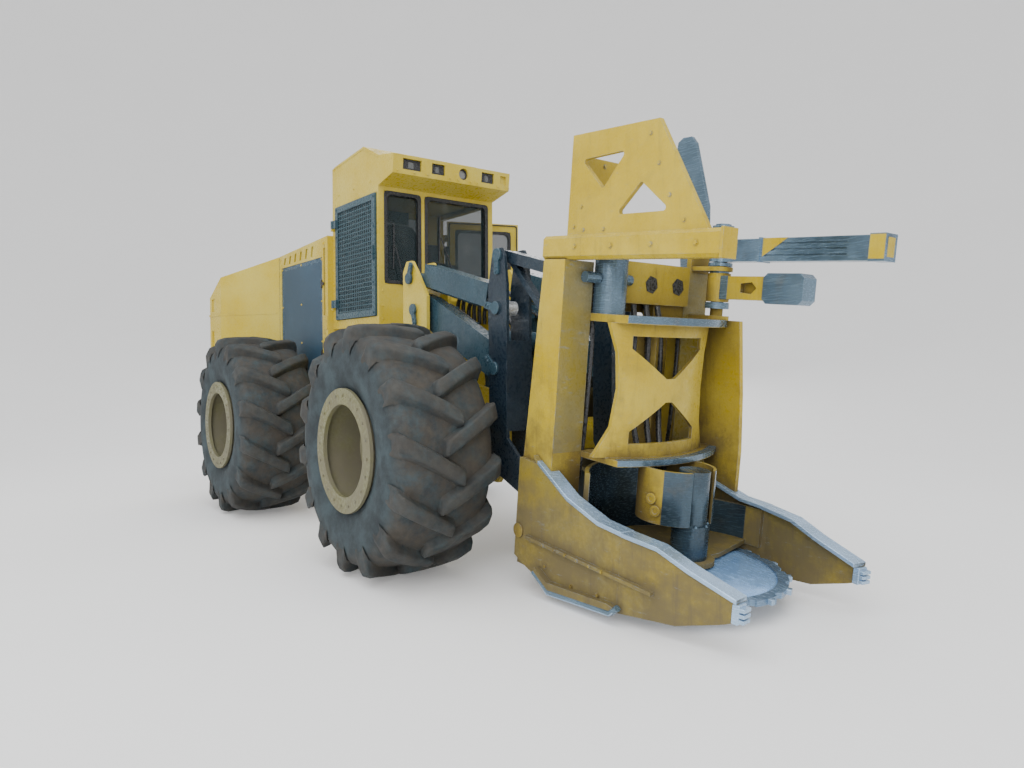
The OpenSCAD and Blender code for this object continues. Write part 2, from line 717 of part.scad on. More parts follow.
module head_frame() color(yellow) placed() head_place() {
  // posts with ears for the lever's foot
  both_sides() {
    difference() {
      upright(post_outline, post_y, head_half);
      upright([[-875, 115], [-875, 600], [-788, 1925], [-625, 1925], [-625, 115]], post_y + 25,
        head_half - 25);
    }
    difference() {
      upright([[-890, 250], [-1010, 330], [-1050, 380], [-1050, 430], [-1010, 480], [-890, 600]],
        arm_y - 60, arm_y + 60);
      bar_y(head_foot, boom_pin_r + seat_gap, 400, 640);
    }
  }
  pocket_plate(top_plate_z);
  pocket_plate(low_plate_z);
  pocket_web();
  motor_cover();
  // left wall
  upright([[-600, 579], [-600, 1620], [-260, 1620], [-200, 1100], [-170, 700], [-170, 403],
    [-390, 464]],
    head_half - 35, head_half);
  // back plates, the folded column behind the web and the casing above the pocket
  flat([[-610, -60], [-470, 60], [-560, 260], [-640, 260], [-640, -60]], 700, 1570);
  span([-760, -190, 1700], [-560, post_y, 1980]);
  span([-700, 140, 1620], [-600, post_y, 1700]);
  span([-800, -post_y, 1640], [-740, post_y, 1860]);
  // brackets of the arms' shaft
  for (z = [1620, 1965, 2230])
    difference() {
      hull() {
        bar_z(arm_axis, 90, z, z + 30);
        span([-620, arm_axis[1] - 90, z], [-610, head_half, z + 30]);
      }
      bar_z(arm_axis, arm_shaft_r, z - 1, z + 31);
    }
  span([-640, 500, 1950], [-600, head_half, 2260]);
  bar_z(arm_axis, arm_shaft_r, 1620, 2270);
}

horn_y = [-680, -650];
horn_hole_r = 18;
// corners of the two holes in the horn
horn_holes = [[[-480, 2540], [-180, 2552], [-320, 2390]], [[-5, 2360], [-150, 2225], [175, 2225]]];

module horns() color(yellow) placed() head_place() {
  // right beam with bevelled edges, and the tall side plate on it
  facing([[-700, 1970], [-700, 2080], [-680, 2100], [-610, 2100], [-590, 2080], [-590, 1970],
    [-610, 1950], [-680, 1950]], -830, 600);
  facing([[-704, 1946], [-704, 2104], [-586, 2104], [-586, 1946]], 600, 615);
  difference() {
    upright([[-620, 2100], [-620, 2715], [100, 2715], [500, 2100]], horn_y[0], horn_y[1]);
    for (hole = horn_holes)
      hull() for (p = hole) bar_y(p, horn_hole_r, horn_y[0] - 1, horn_y[1] + 1);
  }
  // plate behind it, across the back of the pocket
  upright([[-620, 2100], [-620, 2600], [-595, 2600], [-595, 2100]], horn_y[1], -250);
  span([-620, horn_y[1], 2060], [-300, -250, 2100]);
}

// bare steel that the stems rub: the left upright and the rounded bumper at the back of the pocket
module wear_plates() color(worn) placed() head_place() {
  upright([[-800, 1950], [-935, 2860], [-925, 2930], [-880, 2960], [-800, 2960], [-755, 2910],
    [-594, 2440], [-580, 2290], [-640, 2270], [-640, 1950]], 620, 650);
  bar_z([-560, -330], 110, 1620, 2060);
}

// outline of a prong seen from its side, from the rear along the top
prong_turn = 8;
prong_t = 30;
strip_lip = 6;
prong_bend = 100;
prong_top = [[-700, 610], [-390, 440], [-100, 360], [prong_bend, 350]];
// the bent part starts this far inside the straight one
bend_lap = 3;
tip_start = prong_bend - bend_lap + 1;
prong_tip_top = [[tip_start, 347], [350, 330], [550, 265], [850, 190]];
prong_tip_low = [[850, 90], [760, 50], [500, -50], [tip_start, -111]];

// children turned inwards about the outer face of the prong just before its bend
module prong_bent() translate([prong_bend - bend_lap, head_half + prong_t, 0])
  rotate([0, 0, -prong_turn])
    translate([bend_lap - prong_bend, -head_half - prong_t, 0]) children();

// strip that follows a line of points, t thick
module strip(points, t, y0, y1)
  upright(concat(points, [for (i = [len(points) - 1 : -1 : 0]) points[i] - [0, t]]), y0, y1);

module prong() {
  upright(concat([[-900, -60], [-900, 620]], prong_top,
    [[prong_bend, -115], [-500, -190], [-820, -90]]), head_half, head_half + prong_t);
  prong_bent() upright(concat(prong_tip_top, prong_tip_low), head_half, head_half + prong_t);
  // worn strip along the top edge
  strip(concat([[-740, 640]], prong_top), -22, head_half - 70, head_half + prong_t + strip_lip);
  prong_bent() strip(prong_tip_top, -22, head_half - 70, head_half + prong_t + strip_lip);
  // teeth at the tip
  prong_bent() for (z = [95, 125, 155]) span([850, head_half - 40, z], [895, head_half + prong_t, z + 18]);
  prong_bent() span([835, head_half - 40, 85], [865, head_half + prong_t, 185]);
  // ledge and skid along the outside
  span([-760, head_half + prong_t, 95], [380, head_half + prong_t + 32, 115]);
  upright([[-640, -100], [-480, -196], [90, -124], [140, -70], [60, -60], [-500, -120], [-620, -60]],
    head_half + prong_t, head_half + prong_t + 45);
}

// round wall behind the disc: its half width, its front end and its top
wall_steps = [[704, 60, 330], [560, -200, 600]];

module saw_housing() color(yellow) placed() head_place() {
  difference() {
    both_sides() prong();
    // the posts stand in here, a hair clear
    for (x = [-seat_gap, seat_gap])
      both_sides() translate([x, 0, 0]) upright(post_outline, post_y - seat_gap, head_half + 1);
  }
  for (step = wall_steps)
    difference() {
      intersection() {
        bar_z([0, 0], head_half + 4, deck_z[0], step[2]);
        span([-800, -step[0], deck_z[0]], [step[1], step[0], step[2]]);
      }
      bar_z([0, 0], head_half - 24, deck_z[0] - 1, step[2] + 1);
    }
  // deck over the back of the disc, and the plate under it
  difference() {
    union() {
      flat([[-900, -head_half], [-900, head_half], [-60, head_half], [60, 250], [60, -250],
        [-60, -head_half]], deck_z[0], deck_z[1]);
      bar_z([0, 0], 170, deck_z[0], deck_z[1]);
    }
    bar_z([0, 0], saw_hub_r + 6, deck_z[0] - 1, deck_z[1] + 1);
  }
  flat([[-900, -head_half], [-900, head_half], [-300, head_half], [-300, -head_half]], -120, -90);
  span([-900, -head_half, -90], [-870, head_half, deck_z[0]]);
}

module saw_column() color(worn) placed() head_place() difference() {
  union() {
    bar_z([0, 0], column_r, 90, 660);
    bar_z([0, 0], collar_r, 90, 310);
  }
  bar_z([0, 0], saw_hub_r + pin_gap, 89, 150);
}

// dished disc with a tooth holder and a tooth at each step
saw_teeth = 16;
module saw_disc() color(worn) placed() head_place() {
  difference() {
    bar_z([0, 0], saw_r - 25, -6, 30);
    bar_z([0, 0], saw_r - 95, 22, 31);
    for (i = [0 : saw_teeth - 1])
      rotate([0, 0, (i + 0.4) * 360 / saw_teeth]) bar_z([saw_r - 20, 0], 32, -7, 31);
  }
  bar_z([0, 0], saw_hub_r, 21, 140);
  for (i = [0 : saw_teeth - 1])
    rotate([0, 0, i * 360 / saw_teeth]) span([saw_r - 60, -22, -4], [saw_r, 22, 28]);
}

module upper_arm() color(worn) placed() head_place() difference() {
  union() {
    bar_z(arm_axis, 80, upper_arm_z[0], upper_arm_z[1]);
    span([arm_axis[0], 545, upper_arm_z[0]], [upper_arm_end - 100, 655, upper_arm_z[1] - 8]);
    // collars at the root and the end
    for (x = [[-70, -55], [upper_arm_end - 100, upper_arm_end]])
      span([x[0], 535, upper_arm_z[0] - 4], [x[1], 665, upper_arm_z[1]]);
  }
  bar_z(arm_axis, arm_shaft_r + pin_gap, upper_arm_z[0] - 5, upper_arm_z[1] + 1);
  // grooves along the inner face
  for (z = [2062, 2100, 2138]) span([-30, 544, z], [560, 555, z + 16]);
  // recess in the end collar
  span([upper_arm_end - 80, 534, upper_arm_z[0] + 22], [upper_arm_end - 20, 541, upper_arm_z[1] - 22]);
}

module lower_arm() color(worn) placed() head_place() difference() {
  union() {
    bar_z(arm_axis, 80, lower_arm_z[0], lower_arm_z[1]);
    span([arm_axis[0], 545, lower_arm_z[0] + 20], [10, 655, lower_arm_z[1] - 20]);
    // rounded block at the end
    upright([[0, lower_arm_z[0] + 30], [30, lower_arm_z[0]], [lower_arm_end - 30, lower_arm_z[0]],
      [lower_arm_end, lower_arm_z[0] + 30], [lower_arm_end, lower_arm_z[1] - 30],
      [lower_arm_end - 30, lower_arm_z[1]], [30, lower_arm_z[1]], [0, lower_arm_z[1] - 30]], 530, 670);
  }
  bar_z(arm_axis, arm_shaft_r + pin_gap, lower_arm_z[0] - 1, lower_arm_z[1] + 1);
  // hand hole
  upright([[-190, 1820], [-190, 1880], [-100, 1890], [-60, 1850], [-100, 1810]], 544, 590);
}

rear_frame();
rear_axle();
engine_block();
hood_front();
side_screens();
hood_rear();
rear_grille();
rear_bumper();
cab_frame();
cab_roof();
cab_glass();
cab_lamps();
seat();
console();
guard_door();
cab_door();
door_glass();
front_frame();
front_axle();
steer_barrel_right();
steer_rod_right();
steer_barrel_left();
steer_rod_left();
tyre_front_right();
rim_front_right();
tyre_front_left();
rim_front_left();
tyre_rear_right();
rim_rear_right();
tyre_rear_left();
rim_rear_left();
boom();
lift_barrels();
lift_rods();
tilt_barrels();
tilt_rods();
carriage();
head_frame();
horns();
wear_plates();
saw_housing();
saw_column();
saw_disc();
upper_arm();
lower_arm();
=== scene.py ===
# Looks of a wheeled feller buncher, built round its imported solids.
from math import asin, copysign, cos, radians, sin, tau

import bmesh
import bpy
from mathutils import Matrix, Vector, noise


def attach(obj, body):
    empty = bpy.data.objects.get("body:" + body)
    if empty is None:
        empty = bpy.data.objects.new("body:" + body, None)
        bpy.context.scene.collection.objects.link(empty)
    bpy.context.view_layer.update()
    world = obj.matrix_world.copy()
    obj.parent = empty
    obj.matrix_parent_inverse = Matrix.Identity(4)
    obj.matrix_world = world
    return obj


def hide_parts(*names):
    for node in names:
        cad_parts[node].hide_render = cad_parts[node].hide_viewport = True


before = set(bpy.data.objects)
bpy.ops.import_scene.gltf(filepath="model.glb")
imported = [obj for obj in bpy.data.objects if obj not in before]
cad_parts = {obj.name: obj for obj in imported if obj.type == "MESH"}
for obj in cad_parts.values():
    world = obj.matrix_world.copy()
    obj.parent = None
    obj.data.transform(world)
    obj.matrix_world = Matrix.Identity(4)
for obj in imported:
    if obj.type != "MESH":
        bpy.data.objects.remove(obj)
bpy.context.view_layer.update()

# Places are given in the machine's own millimetres: x from the point midway between the
# axles, y to the left, z up. The row frame's origin lies this far ahead of that point.
MID_X = 497.267
WHEELBASE, TRACK_HALF, TYRE_R, TYRE_HALF = 3070, 1212, 920, 388
SAW_X, SAW_Z, HEAD_LEAN = 3300, 190, radians(6)

CAB_FRONT, CAB_HALF, EAVE_Z = 220, 640, 3180
DOOR_OPEN, DOOR_HINGE = 70, Vector((-740, 664, 0))
AHEAD, LEFT, UP = Vector((1, 0, 0)), Vector((0, 1, 0)), Vector((0, 0, 1))
RIGHT = -LEFT

# Camera fitted to the photograph
CAMERA_AT = (6568, -3856, 1515)
CAMERA_YAW, CAMERA_PITCH, CAMERA_ROLL = 143.252, -1.329, -0.184
CAMERA_LENS, CAMERA_SENSOR = 26.733, 36


def at(x, y, z):
    """A place in the machine's millimetres as row metres."""
    return Vector(((x - MID_X) / 1000, y / 1000, z / 1000))


def in_head(x, y, z):
    """A place in the felling head's leaning frame, in its millimetres, as row metres."""
    c, s = cos(HEAD_LEAN), sin(HEAD_LEAN)
    return at(SAW_X + x * c + z * s, y, SAW_Z - x * s + z * c)


def on_door(x, y, z):
    """A place on the shut left door, carried to where the open door has it."""
    turn = Matrix.Rotation(radians(DOOR_OPEN), 3, "Z")
    return at(*(DOOR_HINGE + turn @ (Vector((x, y, z)) - DOOR_HINGE)))


# Materials


class Tree:
    """The node tree of one material, with short calls that add and join nodes."""

    def __init__(self, name):
        self.material = bpy.data.materials.new(name)
        self.material.use_nodes = True
        self.tree = self.material.node_tree
        self.shader = self.tree.nodes["Principled BSDF"]
        self.place = self.add("ShaderNodeTexCoord").outputs["Object"]

    def put(self, socket, value):
        """Joins a socket to another socket, or sets its value."""
        if isinstance(value, bpy.types.NodeSocket):
            self.tree.links.new(value, socket)
        else:
            socket.default_value = value

    def add(self, kind, inputs=None, **settings):
        """A new node with its settings, and with inputs set or joined."""
        node = self.tree.nodes.new(kind)
        for key, value in settings.items():
            setattr(node, key, value)
        for key, value in (inputs or {}).items():
            self.put(node.inputs[key], value)
        return node

    def shade(self, colour, rough, others=None):
        """Sets or joins the shader's colour, roughness and other inputs."""
        for key, value in {"Base Color": colour, "Roughness": rough, **(others or {})}.items():
            self.put(self.shader.inputs[key], value)

    def noise(self, scale, detail=4, rough=0.6, stretch=None):
        """Grain in the object's own space, stretched where three scales are given."""
        place = self.place
        if stretch:
            mapping = self.add("ShaderNodeMapping", {"Scale": stretch, "Vector": place})
            place = mapping.outputs["Vector"]
        return self.add("ShaderNodeTexNoise", {"Scale": scale, "Detail": detail,
                        "Roughness": rough, "Vector": place}).outputs["Fac"]

    def ramp(self, value, low, high):
        """0 below low and 1 above high, with a smooth step between them."""
        return self.add("ShaderNodeMapRange", {"From Min": low, "From Max": high, "Value": value},
                        interpolation_type="SMOOTHSTEP").outputs["Result"]

    def math(self, operation, a, b):
        """Result of a calculation; that of an addition is held between 0 and 1."""
        return self.add("ShaderNodeMath", {0: a, 1: b}, operation=operation,
                        use_clamp=operation == "ADD").outputs[0]

    def mix(self, amount, a, b):
        """Colour a where amount is 0 and colour b where it is 1."""
        a, b = ((*c, 1) if isinstance(c, tuple) else c for c in (a, b))
        return self.add("ShaderNodeMix", {"Factor": amount, 6: a, 7: b},
                        data_type="RGBA").outputs[2]

    def height(self):
        """Height above the ground in metres, at rest."""
        return self.add("ShaderNodeSeparateXYZ", {"Vector": self.place}).outputs["Z"]

    def edges(self, radius):
        """1 on edges and corners of the solids, 0 on their faces."""
        bevel = self.add("ShaderNodeBevel", {"Radius": radius}, samples=3)
        face = self.add("ShaderNodeNewGeometry")
        dot = self.add("ShaderNodeVectorMath", {0: bevel.outputs["Normal"],
                       1: face.outputs["Normal"]}, operation="DOT_PRODUCT")
        return self.ramp(self.math("SUBTRACT", 1, dot.outputs["Value"]), 0.02, 0.16)

    def bump(self, value, strength, distance=0.002):
        """Relief that follows a value, its full depth in metres."""
        node = self.add("ShaderNodeBump", {"Strength": strength, "Distance": distance,
                                           "Height": value})
        self.put(self.shader.inputs["Normal"], node.outputs["Normal"])


def soil_and_shade(t, dirt, dirt_top, crevice, dust):
    """How much soil lies on the paint: low down, in streaks, in nooks and on top faces. The darkening
    in nooks is painted shade as well as soil, and on the felling head the darkening low down is
    partly painted shade too.
    """
    low = t.math("SUBTRACT", 1, t.ramp(t.height(), 0.2, dirt_top))
    patches = t.math("ADD", t.math("MULTIPLY", low, 0.35), t.noise(4.5, 8, 0.7))
    mud_and_shade = t.math("MULTIPLY", t.ramp(patches, 0.5, 0.95), dirt * 2.0)
    streaks = t.math("MULTIPLY", t.ramp(t.noise(5, 6, 0.7, (5, 5, 0.35)), 0.5, 0.8), dirt)
    mud_and_shade = t.math("ADD", mud_and_shade, streaks)
    if crevice:
        # darker in nooks and crevices: painted shade, with some soil
        nook = t.add("ShaderNodeAmbientOcclusion", {"Distance": 0.45}, samples=4)
        deep = t.math("SUBTRACT", 1, t.ramp(nook.outputs["AO"], 0.25, 0.95))
        mud_and_shade = t.math("ADD", mud_and_shade, t.math("MULTIPLY", deep, crevice))
    if dust:
        normal = t.add("ShaderNodeNewGeometry").outputs["Normal"]
        face = t.add("ShaderNodeSeparateXYZ", {"Vector": normal})
        top = t.math("MULTIPLY", t.ramp(face.outputs["Z"], 0.75, 0.98),
                     t.ramp(t.noise(16, 8, 0.75), 0.42, 0.62))
        mud_and_shade = t.math("ADD", mud_and_shade, t.math("MULTIPLY", top, dust))
    return mud_and_shade


def wear_marks(t, wear, scratch):
    """Where the paint is gone: along edges, and in scratches."""
    worn = t.math("MULTIPLY", t.math("MULTIPLY", t.edges(0.006), wear),
                  t.ramp(t.noise(14, 5, 0.7), 0.4, 0.6))
    if scratch:
        marks = t.ramp(t.noise(9, 9, 0.75, (1, 1, 5)), 0.66 - 0.12 * scratch, 0.72)
        worn = t.math("ADD", worn, t.math("MULTIPLY", marks, scratch))
    return worn


def painted(name, paint, faded, rough=0.42, dirt=0.35, dirt_top=1.6, wear=0.5, scratch=0,
            soil=(0.23, 0.16, 0.1), bare=(0.2, 0.22, 0.24), crevice=0, dust=0):
    """Painted steel: faded in patches, soiled low down, darkened in its nooks by painted shade, bare
    on its edges.
    """
    t = Tree(name)
    grain = t.ramp(t.noise(38, 3), 0.3, 0.8)
    colour = t.mix(t.ramp(t.noise(1.7, 5), 0.35, 0.7), paint, faded)
    colour = t.mix(t.math("MULTIPLY", grain, 0.18), colour, tuple(c * 0.55 for c in paint))
    mud_and_shade = soil_and_shade(t, dirt, dirt_top, crevice, dust)
    # the soil colour paints both the soil and the painted shade of the nooks
    colour = t.mix(wear_marks(t, wear, scratch), t.mix(mud_and_shade, colour, soil), bare)
    t.shade(colour, t.ramp(t.math("ADD", mud_and_shade, grain), -0.9 + rough, 2.2 - rough),
            {"Specular IOR Level": 0.35})
    t.bump(t.math("ADD", t.noise(60, 3), mud_and_shade), 0.12)
    return t.material


def bare_steel(name, colour, dark, rough=0.38, rust=0.3):
    """Steel worn bright, with soft patches, fine scratches and some rust; the blue in its colours is
    painted reflection of the sky.
    """
    t = Tree(name)
    patches = t.ramp(t.noise(2.6, 4, 0.55), 0.3, 0.7)
    scratches = t.ramp(t.noise(70, 5, 0.6, (0.12, 0.5, 1.6)), 0.3, 0.8)
    stain = t.math("MULTIPLY", t.ramp(t.noise(4, 8, 0.7), 0.56, 0.7), rust)
    rubbed = t.math("ADD", t.math("MULTIPLY", patches, 0.7), t.math("MULTIPLY", scratches, 0.22))
    rubbed = t.math("ADD", rubbed, t.math("MULTIPLY", t.edges(0.006), 0.8))
    t.shade(t.mix(stain, t.mix(rubbed, dark, colour), (0.13, 0.095, 0.05)),
            t.ramp(t.math("ADD", stain, scratches), -0.9 + rough, 2.6), {"Metallic": 0.45})
    t.bump(scratches, 0.04)
    return t.material


def plain(name, colour, other, scale, rough, metal=0.0, bump=0.1):
    """Moulded, cast or woven stuff: two near colours in a grain."""
    t = Tree(name)
    grain = t.ramp(t.noise(scale, 5), 0.3, 0.7)
    t.shade(t.mix(grain, colour, other), t.ramp(grain, -rough * 1.4, 2.6 - rough),
            {"Metallic": metal})
    t.bump(t.noise(scale * 3, 3), bump)
    return t.material


def tyre_rubber():
    """Dusty rubber: grey-blue sidewalls, soil packed between the lugs."""
    t = Tree("tyre_rubber")
    tread = t.add("ShaderNodeAttribute", attribute_name="tread").outputs["Fac"]
    dust = t.ramp(t.noise(5, 8, 0.7), 0.35, 0.7)
    dusty = t.mix(dust, (0.012, 0.019, 0.023), (0.036, 0.056, 0.064))
    clay = t.mix(t.noise(20, 5), (0.02, 0.018, 0.015), (0.066, 0.055, 0.042))
    soiled = t.math("MULTIPLY", tread, t.ramp(t.noise(7, 8, 0.7), 0.28, 0.62))
    t.shade(t.mix(soiled, dusty, clay), 0.82)
    t.bump(t.noise(70, 6, 0.7), 0.35, 0.004)
    return t.material


def window_glass():
    """Tinted, dusty safety glass."""
    t = Tree("window_glass")
    dust = t.ramp(t.noise(7, 6), 0.45, 0.9)
    t.shade(t.mix(dust, (0.012, 0.026, 0.03), (0.05, 0.064, 0.064)), t.ramp(dust, -0.04, 3.0),
            {"Alpha": 0.55, "Specular IOR Level": 0.35})
    return t.material


def lamp_glass():
    """Ribbed clear lens in front of a dark grey reflector."""
    t = Tree("lamp_glass")
    wave = t.add("ShaderNodeTexWave", {"Scale": 45, "Vector": t.place}).outputs["Fac"]
    t.shade(t.mix(wave, (0.06, 0.065, 0.065), (0.22, 0.225, 0.22)), 0.12, {"Metallic": 0.4})
    t.bump(wave, 0.3)
    return t.material


def cells(t, scale, distance):
    """Distance from the middle of each cell of a regular grid."""
    return t.add("ShaderNodeTexVoronoi", {"Scale": scale, "Randomness": 0, "Vector": t.place},
                 distance=distance).outputs["Distance"]


def punched_sheet():
    """Grey sheet with rows of small dark holes; its blue is painted sky light."""
    t = Tree("punched_sheet")
    holes = t.ramp(cells(t, 75, "EUCLIDEAN"), 0.3, 0.4)
    dust = t.ramp(t.noise(2.2, 6), 0.35, 0.75)
    sheet = t.mix(dust, (0.014, 0.058, 0.106), (0.024, 0.078, 0.134))
    t.shade(t.mix(t.math("MULTIPLY", holes, 0.45), sheet, (0.02, 0.03, 0.04)), 0.55)
    return t.material


def woven_wire():
    """Fine dark wire cloth, half open, so that what lies behind shows dimly."""
    t = Tree("woven_wire")
    wire = t.ramp(cells(t, 24, "CHEBYCHEV"), 0.36, 0.44)
    t.shade(t.mix(wire, (0.008, 0.022, 0.03), (0.034, 0.076, 0.094)), 0.6,
            {"Alpha": t.math("ADD", 0.4, t.math("MULTIPLY", wire, 0.6))})
    return t.material


# In the colours below, the blue of the greys, the blacks and the bare steel is painted sky light, not
# the paint's own tint.
body_yellow = painted("body_yellow", (0.52, 0.38, 0.022), (0.57, 0.455, 0.075), rough=0.36,
                      dirt=0.18, dirt_top=1.5, wear=0.3, dust=0.5)
head_yellow = painted("head_yellow", (0.455, 0.32, 0.012), (0.53, 0.4, 0.045), rough=0.4,
                      dirt=0.36, dirt_top=1.7, wear=0.8, scratch=0.5, crevice=0.9,
                      soil=(0.12, 0.085, 0.026), bare=(0.24, 0.29, 0.33))
# a darker copy of the head's yellow: painted shade under the head, besides soil and wear
housing_shaded_yellow = painted("housing_shaded_yellow", (0.31, 0.225, 0.014), (0.24, 0.195, 0.055), rough=0.5,
                         dirt=0.42, dirt_top=1.5, wear=0.8, scratch=0.6, crevice=0.35,
                         soil=(0.12, 0.095, 0.045), bare=(0.2, 0.24, 0.27))
# the posts' fronts: scratched and bare in places, and their darker yellow is painted shade
post_shaded_worn = painted("post_shaded_worn", (0.25, 0.19, 0.022), (0.17, 0.155, 0.085), rough=0.45, dirt=0.4,
                    wear=0.8, scratch=0.9, soil=(0.15, 0.12, 0.06), bare=(0.17, 0.21, 0.23))
rim_yellow = painted("rim_yellow", (0.16, 0.155, 0.055), (0.165, 0.168, 0.085), rough=0.5,
                     dirt_top=3.0, wear=0.3, soil=(0.15, 0.135, 0.095), crevice=0.3)
charcoal = painted("charcoal", (0.022, 0.052, 0.072), (0.036, 0.08, 0.108), rough=0.3, dirt=0.2,
                   dirt_top=1.8, scratch=0.15, soil=(0.09, 0.095, 0.085), bare=(0.18, 0.24, 0.29))
lever_black = painted("lever_black", (0.01, 0.019, 0.03), (0.018, 0.032, 0.046), rough=0.28,
                      dirt=0.15, dirt_top=1.4, scratch=0.12, soil=(0.08, 0.075, 0.065),
                      bare=(0.18, 0.22, 0.26))
guard_grey = painted("guard_grey", (0.026, 0.062, 0.08), (0.036, 0.078, 0.098), rough=0.5,
                     dirt=0.1, dirt_top=2.4, wear=0.3, soil=(0.12, 0.13, 0.12))
screen_grey = painted("screen_grey", (0.016, 0.056, 0.098), (0.026, 0.074, 0.122), rough=0.55,
                      dirt=0.15, dirt_top=2.4, wear=0.2, soil=(0.12, 0.12, 0.11))
# The steels' blue, brightest on the disc, is painted reflection of the sky.
worn_steel = bare_steel("worn_steel", (0.15, 0.23, 0.31), (0.075, 0.12, 0.16))
edge_steel = bare_steel("edge_steel", (0.4, 0.55, 0.74), (0.22, 0.32, 0.43), 0.32, 0.12)
disc_steel = bare_steel("disc_steel", (0.32, 0.56, 0.92), (0.24, 0.43, 0.74), 0.28, 0.03)
disc_rim = bare_steel("disc_rim", (0.2, 0.31, 0.45), (0.1, 0.16, 0.24), 0.36, 0.2)
column_steel = bare_steel("column_steel", (0.07, 0.115, 0.15), (0.03, 0.05, 0.068), 0.32, 0.2)
arm_steel = bare_steel("arm_steel", (0.2, 0.31, 0.43), (0.045, 0.08, 0.115), 0.34, 0.2)
rod_chrome = bare_steel("rod_chrome", (0.78, 0.8, 0.82), (0.6, 0.63, 0.66), 0.12, 0.05)
cast_iron = plain("cast_iron", (0.06, 0.055, 0.05), (0.12, 0.1, 0.08), 18, 0.7, metal=0.3)
black_trim = plain("black_trim", (0.012, 0.012, 0.013), (0.03, 0.03, 0.032), 60, 0.5)
seal_rubber = plain("seal_rubber", (0.01, 0.011, 0.012), (0.022, 0.023, 0.025), 90, 0.45)
hose_black = plain("hose_black", (0.016, 0.017, 0.019), (0.04, 0.042, 0.045), 50, 0.4)
seat_cloth = plain("seat_cloth", (0.02, 0.021, 0.024), (0.05, 0.05, 0.055), 260, 0.9, bump=0.4)
cab_liner = plain("cab_liner", (0.022, 0.024, 0.027), (0.04, 0.043, 0.046), 70, 0.8)
rubber = tyre_rubber()
glass = window_glass()
lens = lamp_glass()
punched = punched_sheet()
weave = woven_wire()

# the finish of every solid that is shown
FINISHES = (
    (body_yellow, ("rear_frame", "rear_axle", "hood_front", "hood_rear", "rear_bumper", "cab_frame",
                   "cab_roof", "cab_door", "front_frame", "front_axle")),
    (head_yellow, ("head_frame", "horns", "lower_arm")),
    (housing_shaded_yellow, ("saw_housing",)),
    (rim_yellow, ("rim_front_right", "rim_front_left", "rim_rear_right", "rim_rear_left")),
    (charcoal, ("boom", "tilt_barrels", "lift_barrels", "steer_barrel_right", "steer_barrel_left")),
    (lever_black, ("carriage",)),
    (guard_grey, ("guard_door",)),
    (screen_grey, ("side_screens", "rear_grille")),
    (worn_steel, ("wear_plates",)),
    (disc_rim, ("saw_disc",)),
    (column_steel, ("saw_column",)),
    (arm_steel, ("upper_arm",)),
    (rod_chrome, ("lift_rods", "tilt_rods", "steer_rod_right", "steer_rod_left")),
    (cast_iron, ("engine_block",)),
    (black_trim, ("console",)),
    (glass, ("cab_glass", "door_glass")),
    (lens, ("cab_lamps",)),
)
for material, nodes in FINISHES:
    for node in nodes:
        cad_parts[node].data.materials.clear()
        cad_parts[node].data.materials.append(material)


# Mesh tools


def show(name, data):
    """Puts a mesh, a light or a camera into the scene."""
    obj = bpy.data.objects.new(name, data)
    bpy.context.scene.collection.objects.link(obj)
    return obj


def to_mesh(bm, name, material, sharp):
    """Turns a bmesh into a smooth mesh with sharp edges from an angle in degrees on."""
    bmesh.ops.recalc_face_normals(bm, faces=bm.faces)
    mesh = bpy.data.meshes.new(name)
    bm.to_mesh(mesh)
    bm.free()
    mesh.materials.append(material)
    mesh.shade_smooth()
    mesh.set_sharp_from_angle(angle=radians(sharp))
    return mesh


def piece(bm, name, body, material, slot, bevel=0.0):
    """Turns a bmesh into a piece that rides on a body."""
    obj = show(name, to_mesh(bm, name, material, 38))
    if bevel:
        edge = obj.modifiers.new("edge", "BEVEL")
        edge.width = bevel
        edge.segments = 2
        edge.limit_method = "ANGLE"
    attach(obj, body)
    return obj


def add_box(bm, low, high):
    """Box between two corners in the machine's millimetres."""
    low, high = at(*low), at(*high)
    centre, size = (low + high) / 2, high - low
    bmesh.ops.create_cube(bm, size=1, matrix=Matrix.Translation(centre) @ Matrix.Diagonal(
        (*map(abs, size), 1)))


def ring_points(centre, normal, radius, count, turn=0.0):
    """Points of a circle around an axis."""
    normal = normal.normalized()
    side = normal.orthogonal().normalized()
    up = normal.cross(side)
    angles = [turn + tau * i / count for i in range(count)]
    return [centre + side * (radius * cos(a)) + up * (radius * sin(a)) for a in angles]


def skin(bm, rows):
    """Faces between each closed row of vertices and the next."""
    for a, b in zip(rows, rows[1:]):
        for i in range(len(a)):
            j = (i + 1) % len(a)
            bm.faces.new((a[i], a[j], b[j], b[i]))


def add_rings(bm, rings):
    """Solid over rings of equally many points, closed at both ends."""
    rows = [[bm.verts.new(p) for p in ring] for ring in rings]
    skin(bm, rows)
    bm.faces.new(rows[0])
    bm.faces.new(rows[-1])


def add_bolt(bm, place, normal, radius, height):
    """Hexagon head on a washer, standing along normal."""
    normal = normal.normalized()
    add_rings(bm, [ring_points(place + normal * h, normal, radius * 1.35, 16)
                   for h in (-0.002, height * 0.25)])
    add_rings(bm, [ring_points(place + normal * h, normal, r, 6)
                   for h, r in ((0.0, radius), (height * 0.85, radius), (height, radius * 0.86))])


def on_side(u, w, d):
    """A place on a plane that faces left or right: u along x, w up, d across."""
    return at(u, d, w)


def on_front(u, w, d):
    """A place on a plane that faces ahead: u along y, w up, d along x."""
    return at(d, u, w)


def door_side(u, w, d):
    """A place on the open door: u along it, w up, d across it."""
    return on_door(u, d, w)


def head_side(u, w, d):
    """A place on a side plane of the felling head: u ahead, w up, d across."""
    return in_head(u, d, w)


# where the tip of a prong starts, and how far it is bent inwards in degrees
FOLD_X, FOLD_Y, FOLD_TURN = 97, 730, 8


